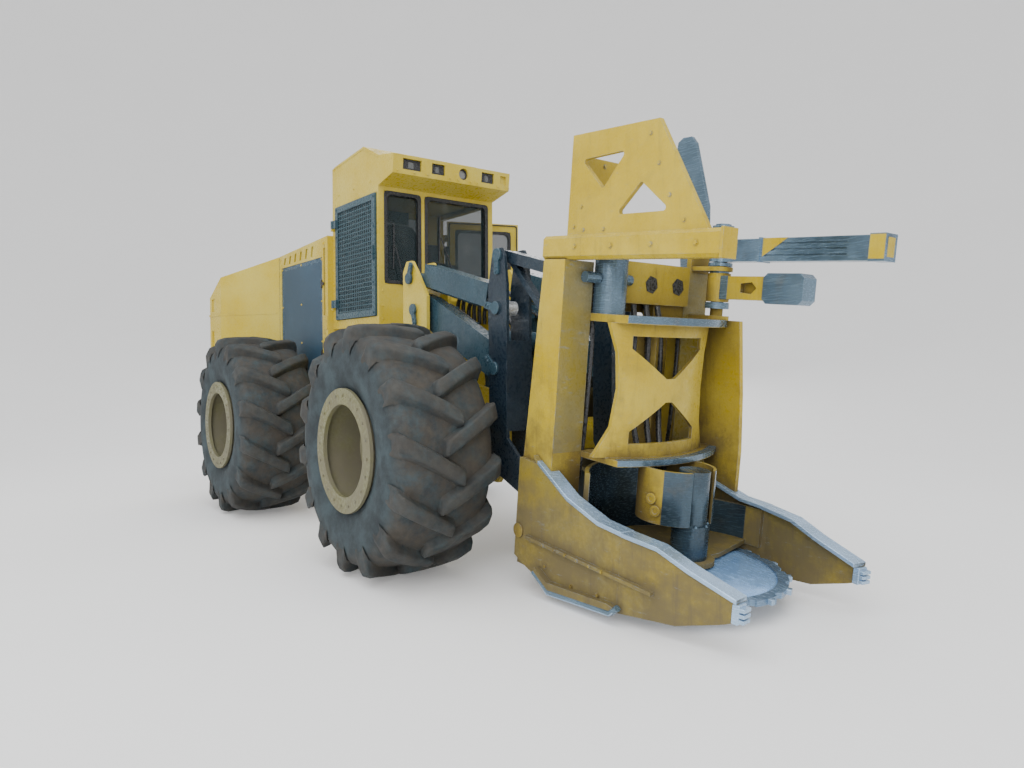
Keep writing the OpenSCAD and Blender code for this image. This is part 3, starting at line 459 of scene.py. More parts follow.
def prong_side(side):
    """Places on the bent tip of a prong, as on its straight part."""
    turn = radians(-FOLD_TURN * side)
    c, s = cos(turn), sin(turn)

    def place(u, w, d):
        du, dd = u - FOLD_X, d - FOLD_Y * side
        return in_head(FOLD_X + du * c - dd * s, FOLD_Y * side + du * s + dd * c, w)
    return place


CORNER_STEPS, CURVE_STEPS = 5, 8


def rounded(u0, u1, w0, w1, radius):
    """Outline of a rectangle with round corners."""
    points = []
    for cu, cw, start in ((u1 - radius, w1 - radius, 0), (u0 + radius, w1 - radius, 90),
                          (u0 + radius, w0 + radius, 180), (u1 - radius, w0 + radius, 270)):
        for k in range(CORNER_STEPS + 1):
            a = radians(start + 90 * k / CORNER_STEPS)
            points.append((cu + radius * cos(a), cw + radius * sin(a)))
    return points


def add_plate(bm, place, outline, low, high):
    """Plate with a flat outline, from one depth to another."""
    add_rings(bm, [[place(u, w, d) for u, w in outline] for d in (low, high)])


def add_frame(bm, place, outer, inner, low, high):
    """Flat ring between two outlines of equally many points."""
    rows = [[bm.verts.new(place(u, w, d)) for u, w in line]
            for line, d in ((outer, low), (outer, high), (inner, high), (inner, low))]
    skin(bm, rows + rows[:1])


def add_box_head(bm, low, high):
    """Box along the felling head's own axes."""
    (x0, y0, z0), (x1, y1, z1) = low, high
    add_plate(bm, in_head, ((x0, y0), (x1, y0), (x1, y1), (x0, y1)), z0, z1)


def strip_outline(points):
    """Outline of a strip that follows a line of points, from just under it."""
    return [(u, w + 25) for u, w in points] + [(u, w - 1) for u, w in reversed(points)]


def smooth_path(points):
    """Places along a smooth curve through the given ones."""
    path = [points[0] * 2 - points[1], *points, points[-1] * 2 - points[-2]]
    places = []
    for a, b, c, d in zip(path, path[1:], path[2:], path[3:]):
        for k in range(CURVE_STEPS):
            t = k / CURVE_STEPS
            places.append(0.5 * ((2 * b) + (c - a) * t + (2 * a - 5 * b + 4 * c - d) * t ** 2
                                 + (3 * b - a - 3 * c + d) * t ** 3))
    return places + [points[-1]]


def add_tube(bm, places, radius, sides):
    """Round tube along a line of places."""
    side = (places[1] - places[0]).orthogonal().normalized()
    rings = []
    for i, place in enumerate(places):
        ahead = (places[min(i + 1, len(places) - 1)] - places[max(i - 1, 0)]).normalized()
        side = (side - ahead * side.dot(ahead)).normalized()
        up = ahead.cross(side)
        rings.append([place + (side * cos(a) + up * sin(a)) * radius
                      for a in (tau * k / sides for k in range(sides))])
    add_rings(bm, rings)


def add_hose(bm, place, points, radius, sides=10):
    """Hose or bent rod along a smooth curve through points of at, in_head or on_door."""
    add_tube(bm, smooth_path([place(*p) for p in points]), radius, sides)


# Wheels

# each wheel: its end and side, x of its hub, and -1 on the right or 1 on the left
WHEELS = [(end, side, x, s) for end, x in (("front", WHEELBASE / 2), ("rear", -WHEELBASE / 2))
          for side, s in (("right", -1), ("left", 1))]
# turn of the first tyre, and of each next one from the one before, in degrees
FIRST_TURN, NEXT_TURN = 5, 9
# rings of bolts: mm from the tyre's middle, radius of the ring, count, turn, bolt's radius, height
WHEEL_BOLTS = ((TYRE_HALF + 5, 0.395, 20, 0.1, 0.009, 0.008), (30, 0.265, 12, 0.0, 0.016, 0.022))
LUGS, LUG_SLANT, TYRE_STEPS = 14, radians(14), 112
# half of the carcass's section as (radius, y), and where its tread begins and is full
CARCASS = [(0.398, 0.300), (0.408, 0.335), (0.440, 0.352), (0.520, 0.374), (0.620, 0.384),
           (0.710, 0.378), (0.770, 0.362), (0.812, 0.330), (0.836, 0.270), (0.848, 0.180),
           (0.854, 0.080)]
TREAD_FROM, TREAD_FULL = 0.70, 0.80
# stations along a lug as (y, top radius, root radius, half width)
LUG_STATIONS = ((0.376, 0.730, 0.68, 0.032), (0.387, 0.785, 0.70, 0.048),
                (0.382, 0.845, 0.74, 0.058), (0.362, 0.884, 0.79, 0.062),
                (0.300, 0.903, 0.81, 0.060), (0.200, 0.912, 0.83, 0.057),
                (0.080, 0.917, 0.83, 0.056), (-0.030, 0.919, 0.84, 0.057),
                (-0.066, 0.914, 0.84, 0.054), (-0.078, 0.890, 0.84, 0.048))
LUG_OUTER_Y = 0.386


def add_carcass(bm, tread):
    """The tyre's bulged body about the y axis."""
    profile = CARCASS + [(r, -y) for r, y in reversed(CARCASS)]
    rows = []
    for i in range(TYRE_STEPS):
        a = tau * i / TYRE_STEPS
        row = []
        for r, y in profile:
            v = bm.verts.new((r * cos(a), y, r * sin(a)))
            v[tread] = min(max((r - TREAD_FROM) / (TREAD_FULL - TREAD_FROM), 0.0), 1.0)
            row.append(v)
        rows.append(row)
    skin(bm, rows + rows[:1])


def lug_section(top, root, half):
    """Half section of a lug as (radius, offset round the tyre), from its foot to its top."""
    foot = (root + top) / 2
    return ((root, half * 1.5), (foot, half * 1.12), (top - 0.016, half),
            (top - 0.004, half * 0.86), (top, half * 0.6))


def add_lug(bm, tread, side, index):
    """One slanted lug on a shoulder of the tyre."""
    start = tau * (index + (0.5 if side < 0 else 0.0)) / LUGS
    rows = []
    for y, top, root, half in LUG_STATIONS:
        angle = start - LUG_SLANT * (1 - y / LUG_OUTER_Y)
        jitter = 0.004 * noise.noise(Vector((index * 3.1 + side, y * 9, 0.3)))
        section = lug_section(top, root, half)
        row = []
        for r, w in section + tuple((r, -w) for r, w in reversed(section)):
            a = angle + w / top
            v = bm.verts.new(((r + jitter) * cos(a), y * side, (r + jitter) * sin(a)))
            v[tread] = 0.75 if r > root else 1.0
            row.append(v)
        rows.append(row)
    for a, b in zip(rows, rows[1:]):
        for k in range(len(a) - 1):
            bm.faces.new((a[k], a[k + 1], b[k + 1], b[k]))
    bm.faces.new(rows[0])
    bm.faces.new(rows[-1])


def tyre_mesh():
    """The tyre about the y axis: its carcass, and slanted lugs on both shoulders."""
    bm = bmesh.new()
    tread = bm.verts.layers.float.new("tread")
    add_carcass(bm, tread)
    for side in (1, -1):
        for index in range(LUGS):
            add_lug(bm, tread, side, index)
    return to_mesh(bm, "tyre", rubber, 50)


def wheel_bolts(end, side, x, s):
    """Bolts round the rim's face and round the hub."""
    out = Vector((0, s, 0))
    bm = bmesh.new()
    for depth, circle, count, turn, radius, height in WHEEL_BOLTS:
        for place in ring_points(at(x, s * (TRACK_HALF + depth), TYRE_R), out, circle, count, turn):
            add_bolt(bm, place, out, radius, height)
    piece(bm, f"wheel_bolts_{end}_{side}", f"wheel_{end}_{side}", rim_yellow, "yellow")


def tyres():
    """A tyre on each rim in place of the solid one, with the wheel's bolts."""
    data = tyre_mesh()
    for index, (end, side, x, s) in enumerate(WHEELS):
        tread = data.copy()
        tread.transform(Matrix.Rotation(radians(FIRST_TURN + NEXT_TURN * index), 4, "Y"))
        tyre = show(f"tread_{end}_{side}", tread)
        tyre.location = at(x, s * TRACK_HALF, TYRE_R)
        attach(tyre, f"wheel_{end}_{side}")
        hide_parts(f"tyre_{end}_{side}")
        wheel_bolts(end, side, x, s)
    bpy.data.meshes.remove(data)


# Seat


def cushion(name, low, high, lean=0.0):
    """Stuffed pad with a crowned top and sides that pull in."""
    centre, half = (low + high) / 2, (high - low) / 2
    bm = bmesh.new()
    bmesh.ops.create_cube(bm, size=2)
    bmesh.ops.subdivide_edges(bm, edges=bm.edges, cuts=9, use_grid_fill=True)
    for v in bm.verts:
        p = v.co.copy()
        q = Vector([copysign(abs(c) ** 0.75, c) for c in p])
        round_off = 1 - 0.1 * (abs(p.x * p.y) ** 4 + abs(p.y * p.z) ** 4 + abs(p.x * p.z) ** 4)
        v.co = Vector((q.x * half.x, q.y * half.y, q.z * half.z)) * round_off
    bm.transform(Matrix.Translation(centre) @ Matrix.Rotation(lean, 4, "Y"))
    obj = piece(bm, name, "rear_body", seat_cloth, "fabric")
    obj.modifiers.new("round", "SUBSURF").levels = 1
    return obj


def seat():
    """Both cushions, the back in place of the plain seat."""
    cushion("seat_base_pad", at(-600, -250, 2330), at(-140, 250, 2440))
    back = cushion("seat_back_pad", at(-680, -230, 2430), at(-560, 230, 3010), radians(-6))
    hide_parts("seat")


def seat_pedestal(bm):
    add_box(bm, (-560, -150, 1960), (-260, 150, 2330))


# Cab

WINDOWS = ((-580, -195), (-150, 580))
WINDOW_LOW, WINDOW_HIGH = 2286, 3144
LAMP_SLOTS = ((-540, -350), (-240, -100), (310, 456))
ROUND_LAMP_Y, VISOR_X = 106, 520.5
LINING_REAR, LINING_FRONT, LINING_HALF = -735, 155, 575
MAT_Z, LEVER_Y = 1972, 340


def window_seals(bm):
    """Rubber round the two front windows and the window behind the side guard."""
    for y0, y1 in WINDOWS:
        add_frame(bm, on_front, rounded(y0 - 4, y1 + 4, WINDOW_LOW, WINDOW_HIGH, 40),
                  rounded(y0 + 30, y1 - 30, WINDOW_LOW + 32, WINDOW_HIGH - 36, 46),
                  CAB_FRONT - 40, CAB_FRONT + 7)
    add_frame(bm, on_side, rounded(-664, 144, 2026, 3084, 40), rounded(-640, 120, 2050, 3060, 40),
              -CAB_HALF + 32, -CAB_HALF + 52)


def door_seals(bm):
    """Rubber round the door's window and along the door's inner edge."""
    add_frame(bm, door_side, rounded(-634, 14, 2496, 3044, 50), rounded(-604, -16, 2526, 3014, 56),
              CAB_HALF - 50, CAB_HALF + 5)
    add_frame(bm, door_side, rounded(-708, 88, 1992, 3118, 30), rounded(-696, 76, 2004, 3106, 24),
              CAB_HALF - 54, CAB_HALF - 44)


def door_handle(bm):
    add_plate(bm, door_side, rounded(-10, 70, 2300, 2420, 20), CAB_HALF, CAB_HALF + 8)
    add_hose(bm, on_door, [(10, 648, 2330), (12, 690, 2345), (12, 690, 2385), (10, 648, 2400)], 0.009)


def lamp_bezels(bm):
    """Black bezels of the visor's lamps with upright slots, and a ring round one lamp."""
    for y0, y1 in LAMP_SLOTS:
        low, width = y0 + 20, y1 - y0 - 40
        add_frame(bm, on_front, rounded(y0 + 2, y1 - 2, EAVE_Z + 107, EAVE_Z + 198, 16),
                  rounded(low, low + width, EAVE_Z + 123, EAVE_Z + 182, 14), 440, 494)
        for share in (0.0, 0.14, 0.68, 0.86):
            add_plate(bm, on_front, rounded(low + width * share, low + width * (share + 0.14),
                                            EAVE_Z + 118, EAVE_Z + 188, 3), 478, 490)
    outer, inner = [[(ROUND_LAMP_Y + r * cos(a), EAVE_Z + 150 + r * sin(a))
                     for a in (tau * k / 32 for k in range(32))] for r in (51, 38)]
    add_frame(bm, on_front, outer, inner, 450, 488)


def cab_trim(bm):
    """Bolts of visor, roof and cab, and the lip along the roof's right edge."""
    for y in (-600, -430, -290, -50, 40, 180, 260, 500, 620):
        add_bolt(bm, at(VISOR_X, y, EAVE_Z + 84), Vector((1, 0, 0.1)), 0.008, 0.007)
    for y in (-600, -300, 0, 300, 600):
        add_bolt(bm, at(300, y, EAVE_Z + 262), Vector((0.15, 0, 1)), 0.01, 0.008)
    for x in (-640, -300, 60):
        add_bolt(bm, at(x, -CAB_HALF, EAVE_Z + 60), RIGHT, 0.009, 0.008)
    for y in (-600, 600):
        for z in (1960, 2080, 2220):
            add_bolt(bm, at(CAB_FRONT, y, z), AHEAD, 0.01, 0.008)
    lip = ((-770, 344), (-730, 352), (-80, 406), (226, 262), (216, 256), (-84, 394), (-730, 341),
           (-770, 333))
    add_plate(bm, on_side, [(x, EAVE_Z + z) for x, z in lip], -CAB_HALF - 5, -CAB_HALF + 10)


def wipers(bm):
    """Wipers with the pivot at (y, z) and the middle of the blade at (to_y, to_z)."""
    for y, z, to_y, to_z in ((200, 2300, 30, 2760), (-390, 2300, -470, 2640)):
        add_rings(bm, [ring_points(at(x, y, z), AHEAD, 0.022, 16)
                       for x in (CAB_FRONT - 10, CAB_FRONT + 26)])
        tip = at(CAB_FRONT + 4, to_y, to_z)
        bend = at(CAB_FRONT + 22, (y + to_y) / 2, (z + to_z) / 2)
        add_tube(bm, [at(CAB_FRONT + 18, y, z), bend, tip], 0.006, 8)
        add_tube(bm, [at(CAB_FRONT - 26, to_y - 6, to_z - 210),
                      at(CAB_FRONT - 24, to_y, to_z + 210)], 0.008, 8)
        add_tube(bm, [tip, at(CAB_FRONT - 24, to_y, to_z)], 0.006, 8)


def guard_mesh(bm):
    """Wire cloth over the bars of the swinging side guard."""
    add_box(bm, (-638, -CAB_HALF - 12, 2052), (118, -CAB_HALF - 10, 3058))


def guard_bolts(bm):
    """Latch and bolts of the side guard."""
    add_box(bm, (150, -CAB_HALF - 38, 2500), (166, -CAB_HALF - 20, 2640))
    for x in (-670, 150):
        for z in (2020, 2300, 2560, 2820, 3090):
            add_bolt(bm, at(x, -CAB_HALF - 20, z), RIGHT, 0.009, 0.008)


def cab_lining(bm):
    """Dark floor mat, rear wall, headlining, corner posts and the panel under the windscreen."""
    add_box(bm, (LINING_REAR, -LINING_HALF, MAT_Z - 10), (LINING_FRONT, LINING_HALF, MAT_Z))
    add_box(bm, (LINING_REAR - 3, -LINING_HALF, MAT_Z), (LINING_REAR + 7, LINING_HALF, 2860))
    add_box(bm, (LINING_REAR, -LINING_HALF, EAVE_Z + 6), (LINING_FRONT, LINING_HALF, EAVE_Z + 14))
    for s, post_x in ((-1, -668), (1, -730)):
        add_box(bm, (LINING_REAR, s * 578, MAT_Z), (post_x, s * 570, EAVE_Z))
        add_box(bm, (118, s * 578, MAT_Z), (LINING_FRONT, s * 570, EAVE_Z))
    add_box(bm, (LINING_FRONT - 5, -LINING_HALF, MAT_Z),
            (LINING_FRONT + 2, LINING_HALF, WINDOW_LOW - 6))


def cab_controls(bm):
    """Dash, screen, arm pads, lever knobs and the console under the roof."""
    add_plate(bm, on_side, [(120, 1965), (120, 2420), (60, 2440), (-40, 2330), (-60, 1965)],
              -560, -300)
    add_box(bm, (10, -520, 2440), (40, -340, 2600))
    add_tube(bm, [at(25, -430, 2420), at(25, -430, 2450)], 0.015, 10)
    for y in (-LEVER_Y, LEVER_Y):
        add_box(bm, (-470, y - 55, 2560), (-240, y + 55, 2590))
        add_rings(bm, [ring_points(at(-180, y, z), UP, r, 16)
                       for z, r in ((2660, 0.0168), (2690, 0.028), (2730, 0.0294), (2760, 0.0196))])
    add_box(bm, (-690, -140, 3030), (-610, 140, 3150))


# Engine enclosure

HOOD_HALF, SCREEN_HALF, TAIL_X = 700, 690, -3280


def hood_bolts(bm):
    for s in (-1, 1):
        out = Vector((0, s, 0))
        for x in (-2098, -1530, -962):
            for z in (1352, 1780, 2200, 2633):
                add_bolt(bm, at(x, s * (SCREEN_HALF + 4), z), out, 0.009, 0.007)
        for x, z in ((-2150, 1300), (-2150, 2740), (-905, 1300), (-905, 2790), (-830, 1990),
                     (-830, 1950)):
            add_bolt(bm, at(x, s * HOOD_HALF, z), out, 0.01, 0.008)
        add_plate(bm, on_side, rounded(-870, -812, 1900, 2040, 10), s * HOOD_HALF,
                  s * (HOOD_HALF + 6))
    for x, z in ((-2180, 2797), (-850, 2854)):
        for y in (-640, -320, 0, 320, 640):
            add_bolt(bm, at(x, y, z), UP, 0.009, 0.007)
    for y in (-873.6, 873.6):
        for z in (1290, 1680, 2060):
            add_bolt(bm, at(TAIL_X, y, z), -AHEAD, 0.01, 0.008)


def screen_mesh(bm):
    """Punched sheet on the side screens."""
    for s in (-1, 1):
        add_box(bm, (-2075, s * (SCREEN_HALF + 2.5), 1375), (-985, s * SCREEN_HALF, 2610))


def hood_latches(bm):
    """Dark seams beside the screens, and the screens' latches."""
    for s in (-1, 1):
        for x in (-880, -2186):
            add_box(bm, (x - 3, s * (HOOD_HALF - 1), 1245), (x + 3, s * (HOOD_HALF + 1.5), 2780))
        for z in (1600, 2330):
            add_box(bm, (-960, s * 694, z), (-935, s * 712, z + 90))
            add_box(bm, (-950, s * 704, z + 30), (-890, s * 712, z + 60))


def vent_shade_sheets(bm):
    """Dark sheets behind the vents and the tail grille: painted shade inside the hood."""
    for s in (-1, 1):
        add_plate(bm, on_side, [(-2110, 2662), (-2110, 2760), (-1080, 2800), (-1080, 2662)],
                  s * (HOOD_HALF - 60), s * (HOOD_HALF - 45))
    add_box(bm, (TAIL_X + 45, -860, 1290), (TAIL_X + 55, 860, 2060))


# Frames, boom and cylinders

# x, z and the turn of the keeper's plate, for each pin
TOWER_PINS = ((810, 2270, 1.2), (880, 2000, -1.3))
CARRIAGE_PINS = ((2040, 1500, 2.4), (2066, 1940, 2.9), (2085, 2320, -1.6))
PIPE_Y = (406, 440)
PIPE_LINE = ((960, 2080), (1200, 1990), (1600, 1797), (1820, 1686))
CLAMPS = ((1180, 1985), (1480, 1840), (1780, 1698))


def pin_keeper(bm, x, z, y, side, turn):
    """Round cap on a pin, with a slotted plate that keeps it from turning."""
    out = Vector((0, side, 0))
    cap = at(x, y, z)
    add_rings(bm, [ring_points(cap + out * h, out, r, 28)
                   for h, r in ((-0.004, 0.05), (0.012, 0.05), (0.016, 0.046))])
    direction = Vector((cos(turn), 0, sin(turn)))
    across = Vector((-sin(turn), 0, cos(turn)))
    outline = [cap + direction * u + across * w for u, w in rounded(-0.02, 0.14, -0.026, 0.026, 0.02)]
    add_rings(bm, [[p + out * h for p in outline] for h in (0.0, 0.014)])
    for u in (0.085, 0.118):
        add_bolt(bm, cap + direction * u + out * 0.014, out, 0.009, 0.009)


def tower_details(bm):
    """Pin keepers, pipes and bolts of the tower."""
    for s in (-1, 1):
        for x, z, turn in TOWER_PINS:
            pin_keeper(bm, x, z, s * 655, s, turn)
        add_hose(bm, at, [(720, s * 300, 1250), (770, s * 300, 1500), (780, s * 280, 1800),
                          (800, s * 240, 2080)], 0.012)
    for y in (-330, -250, 250, 330):
        for z in (1300, 1700, 2050):
            add_bolt(bm, at(786, y, z), AHEAD, 0.012, 0.01)


def boom_hoses(bm):
    """Hoses that arch from the tower into the boom, and pipes along the lift arms."""
    for k in range(7):
        y = -170 + 56 * k
        lift = 30 * sin(k * 2.1)
        add_hose(bm, at, [(840, y, 1900), (850, y * 1.05, 2080 + lift),
                          (1010, y * 1.1, 2200 + lift), (1230, y * 1.05, 2090 + lift),
                          (1420, y, 1850), (1500, y, 1700)], 0.019)
    for s in (-1, 1):
        for y in PIPE_Y:
            add_hose(bm, at, [(x, s * y, z) for x, z in PIPE_LINE], 0.012, 8)


def boom_clamps(bm):
    """Clamps that hold the pipes on the lift arms."""
    for s in (-1, 1):
        for x, z in CLAMPS:
            add_box(bm, (x - 25, s * 474, z - 40), (x + 25, s * 400, z + 30))


def lever_pins(bm):
    """Pin keepers of the levers that carry the head."""
    for s in (-1, 1):
        for x, z, turn in CARRIAGE_PINS:
            pin_keeper(bm, x, z, s * 636, s, turn)


def head_hoses(bm):
    """Hoses that sag from the levers' foot into the head."""
    for k in range(6):
        y = -150 + 60 * k
        sag = 40 * sin(k * 1.7)
        add_hose(bm, at, [(2030, y, 1560), (2120 + sag, y, 1700), (2230 + sag, y * 1.05, 1930),
                          (2400, y * 1.1, 2110 + sag), (2620, y * 1.2, 2060)], 0.018)


# Felling head, in millimetres of its own leaning frame

PRONG_LINE = [(-700, 610), (-390, 440), (-100, 360), (100, 350)]
TIP_LINE = [(98, 347), (350, 330), (550, 265), (850, 190)]
TIP_TEETH_Z = (95, 125, 155)
# outer edge of the skid under a prong, then back along its inner edge
SKID_EDGE = [(-642, -102), (-480, -199), (90, -127), (143, -71), (132, -71), (86, -117),
             (-478, -188), (-634, -98)]
SKID_LINE = ((-640, -98), (-478, -178), (85, -108), (140, -62))
HORN_BOLTS = ((-560, 2150), (-470, 2128), (-290, 2126), (-500, 2270), (40, 2640), (120, 2470),
              (215, 2290), (330, 2150))
# the pocket plates' front edge is an arc about a place behind the head
POCKET_X, POCKET_R = -1350, 1185
POCKET_SPAN = (-448, 663)
POCKET_PLATES = ((1570, 1620), (660, 700))
COVER_X, COVER_R, COVER_LOW, COVER_HIGH = -150, 250, 310, 660
DECK_TOP, WALL_R, WALL_LINER = 90, 675, 3
# half width, front end and top of each step of the round wall
WALL_STEPS = ((674, 58, 330), (558, -202, 600))
POST_FRONT = -600
SHAFT_X, SHAFT_Y = -420, 600
SAW_TEETH = 16
TOOTH = ((618, -24), (657, -24), (657, 4), (618, 4))
HEAD_UP = in_head(0, 0, 1) - in_head(0, 0, 0)
HEAD_AHEAD = in_head(1, 0, 0) - in_head(0, 0, 0)


def arc(x, radius, turns, side=1):
    """Points of an arc about a place on the head's middle line."""
    return [(x + radius * cos(a), side * radius * sin(a)) for a in turns]


def add_rounds(bm, x, y, sizes, sides):
    """Upright bar through rings given as (height, radius in metres)."""
    add_rings(bm, [ring_points(in_head(x, y, z), HEAD_UP, r, sides) for z, r in sizes])


def prong_wear(bm):
    """Worn strips along the prongs and their tips, the tips' teeth and the skids' edges."""
    for s in (-1, 1):
        tip = prong_side(s)
        add_plate(bm, head_side, strip_outline(PRONG_LINE), s * 627, s * 739)
        add_plate(bm, tip, strip_outline(TIP_LINE), s * 627, s * 739)
        for z in TIP_TEETH_Z:
            add_plate(bm, tip, [(846, z - 1.5), (846, z + 19.5), (897, z + 19.5),
                                (897, z - 1.5)], s * 658.5, s * 731.5)
        add_plate(bm, tip, rounded(826, 868, 82, 188, 8), s * 657, s * 733)
        add_plate(bm, head_side, SKID_EDGE, s * 728, s * 777)


def head_bolts(bm):
    """Bolts and caps of the housing, the horn, its beam and the casing."""
    for s in (-1, 1):
        out = Vector((0, s, 0))
        for x in range(-560, 60, 110):
            add_bolt(bm, in_head(x, s * 762, 105), out, 0.01, 0.009)
        for x, z in ((-560, -40), (-300, -90), (-60, -60)):
            add_bolt(bm, in_head(x, s * 730, z), out, 0.013, 0.011)
        add_rings(bm, [ring_points(in_head(-860, s * y, 120), LEFT, r, 24)
                       for y, r in ((728, 0.05), (742, 0.05), (746, 0.044))])
    for x, z in HORN_BOLTS:
        add_bolt(bm, in_head(x, -680, z), RIGHT, 0.01, 0.008)
    for x in (-520, -200, 120, 440):
        add_bolt(bm, in_head(x, -700, 2025), RIGHT, 0.013, 0.01)
    for y in (-420, -300, -180):
        for z in (2180, 2400, 2560):
            add_bolt(bm, in_head(-595, y, z), AHEAD, 0.011, 0.009)


def pocket_wear(bm):
    """Bright lips of the pocket plates, where stems lie."""
    first, last = (asin(y / POCKET_R) for y in POCKET_SPAN)
    turns = [first + (last - first) * k / 40 for k in range(41)]
    outer, inner = arc(POCKET_X, POCKET_R + 2, turns), arc(POCKET_X, POCKET_R - 55, turns)
    for low, high in POCKET_PLATES:
        add_plate(bm, in_head, outer + inner[::-1], high - 0.5, high + 2)
        add_plate(bm, in_head, outer + [(u - 3, w) for u, w in outer[::-1]], low + 4, high + 1)


def post_shade_and_wear(bm):
    """Fronts of the posts, rubbed through the paint, and darker with painted shade."""
    for s in (-1, 1):
        add_box_head(bm, (POST_FRONT - 1.5, s * 697, 700), (POST_FRONT + 1.5, s * 453, 1946))


def cover_wear(bm):
    """Bare, rubbed edges of the motor cover beside the column."""
    turns = [radians(k) for k in range(25, 68, 3)]
    for s in (-1, 1):
        outer, inner = arc(COVER_X, COVER_R + 2.5, turns, s), arc(COVER_X, COVER_R - 0.5, turns, s)
        add_plate(bm, in_head, outer + inner[::-1], COVER_LOW + 2, COVER_HIGH - 2)


def cover_bosses(bm):
    """Bored bosses on the sides of the motor cover."""
    for s in (-1, 1):
        for z, turn in ((470, 84), (395, 76)):
            a = radians(turn)
            out = in_head(cos(a), s * sin(a), 0) - in_head(0, 0, 0)
            rings = []
            for r, size in ((-4, 0.036), (16, 0.036), (16, 0.018), (12, 0.018)):
                x, y = arc(COVER_X, COVER_R + r, [a], s)[0]
                rings.append(ring_points(in_head(x, y, z), out, size, 24))
            add_rings(bm, rings)


def side_skids(bm):
    """Round skids along the lower outer edges."""
    for s in (-1, 1):
        add_tube(bm, [in_head(x, s * 760, z) for x, z in SKID_LINE], 0.02, 12)


def wall_wear(bm):
    """Bare inner face of the round wall behind the disc."""
    for half, front, top in WALL_STEPS:
        turns = [a for a in (radians(90 + 3 * k) for k in range(61))
                 if abs(WALL_R * sin(a)) <= half and WALL_R * cos(a) <= front]
        outer, inner = arc(0, WALL_R, turns), arc(0, WALL_R - WALL_LINER, turns)
        add_plate(bm, in_head, outer + inner[::-1], DECK_TOP + 2, top - 4)


def head_fittings(bm):
    """Nuts and collars on the arms' shaft, the casing's stubs and the column's ring of bolts."""
    for z, r, sides in ((2270, 0.075, 32), (2284, 0.055, 6)):
        add_rounds(bm, SHAFT_X, SHAFT_Y, ((z - 2, r), (z + 14, r)), sides)
    for r, low, high in ((0.068, 1952, 1964), (0.085, 2000, 2024), (0.085, 1700, 1745)):
        add_rounds(bm, SHAFT_X, SHAFT_Y, ((low, r), (high, r)), 32)
    for span in ((-560, -440), (-222, -150)):
        add_rings(bm, [ring_points(in_head(-560, y, 1850), LEFT, 0.036, 24) for y in span])
    for k in range(8):
        x, y = arc(0, 110, [tau * k / 8 + 0.2])[0]
        add_bolt(bm, in_head(x, y, COVER_LOW), HEAD_UP, 0.009, 0.01)


def head_lines(bm):
    """Sockets in the casing, and the hoses behind the web and along the posts."""
    for y in (60, 330):
        add_rings(bm, [ring_points(in_head(x, y, 1835), HEAD_AHEAD, 0.062, 6)
                       for x in (-561, -557)])
    for y in (-120, 0, 110):
        add_hose(bm, in_head, [(-540, y, 1690), (-500, y * 1.1, 1500), (-480, y * 1.2, 1100),
                               (-430, y, 800), (-330, y * 0.8, 560)], 0.02)
    for y in (-420, 420):
        add_hose(bm, in_head, [(-640, y, 1640), (-600, y, 1450), (-610, y, 900), (-640, y, 500)],
                 0.014, 8)


def tooth_tips(bm):
    """Carbide tips on the disc's teeth."""
    for k in range(SAW_TEETH):
        turn = Matrix.Rotation(tau * k / SAW_TEETH, 3, "Z")
        corners = [turn @ Vector((x, y, -5)) for x, y in TOOTH]
        add_rings(bm, [[in_head(c.x, c.y, c.z + h) for c in corners] for h in (0, 34)])


def disc_dome(bm):
    """Domed middle of the disc, polished by the stems; its bright blue is painted reflection of the
    sky.
    """
    add_rounds(bm, 0, 0, ((23, 0.558), (34, 0.546), (40, 0.5), (44, 0.4), (46, 0.25), (46, 0.1)), 96)


def arm_paint(bm):
    """Paint left on the upper arm."""
    add_box_head(bm, (799, 560, 2052), (801, 640, 2168))
    add_box_head(bm, (702, 533.5, 2040), (798, 535.5, 2184))
    add_plate(bm, head_side, [(-40, 2184), (-40, 2060), (150, 2184)], 543.5, 545.5)


def arm_end(bm):
    """Bare steel on the lower arm's end and root."""
    block = [(-2, 1779), (29, 1748.5), (271, 1748.5), (301.5, 1779), (301.5, 1921),
             (271, 1951.5), (29, 1951.5), (-2, 1921)]
    add_plate(bm, head_side, block, 528.5, 671.5)
    add_box_head(bm, (-432, 543, 1768), (-300, 545, 1932))


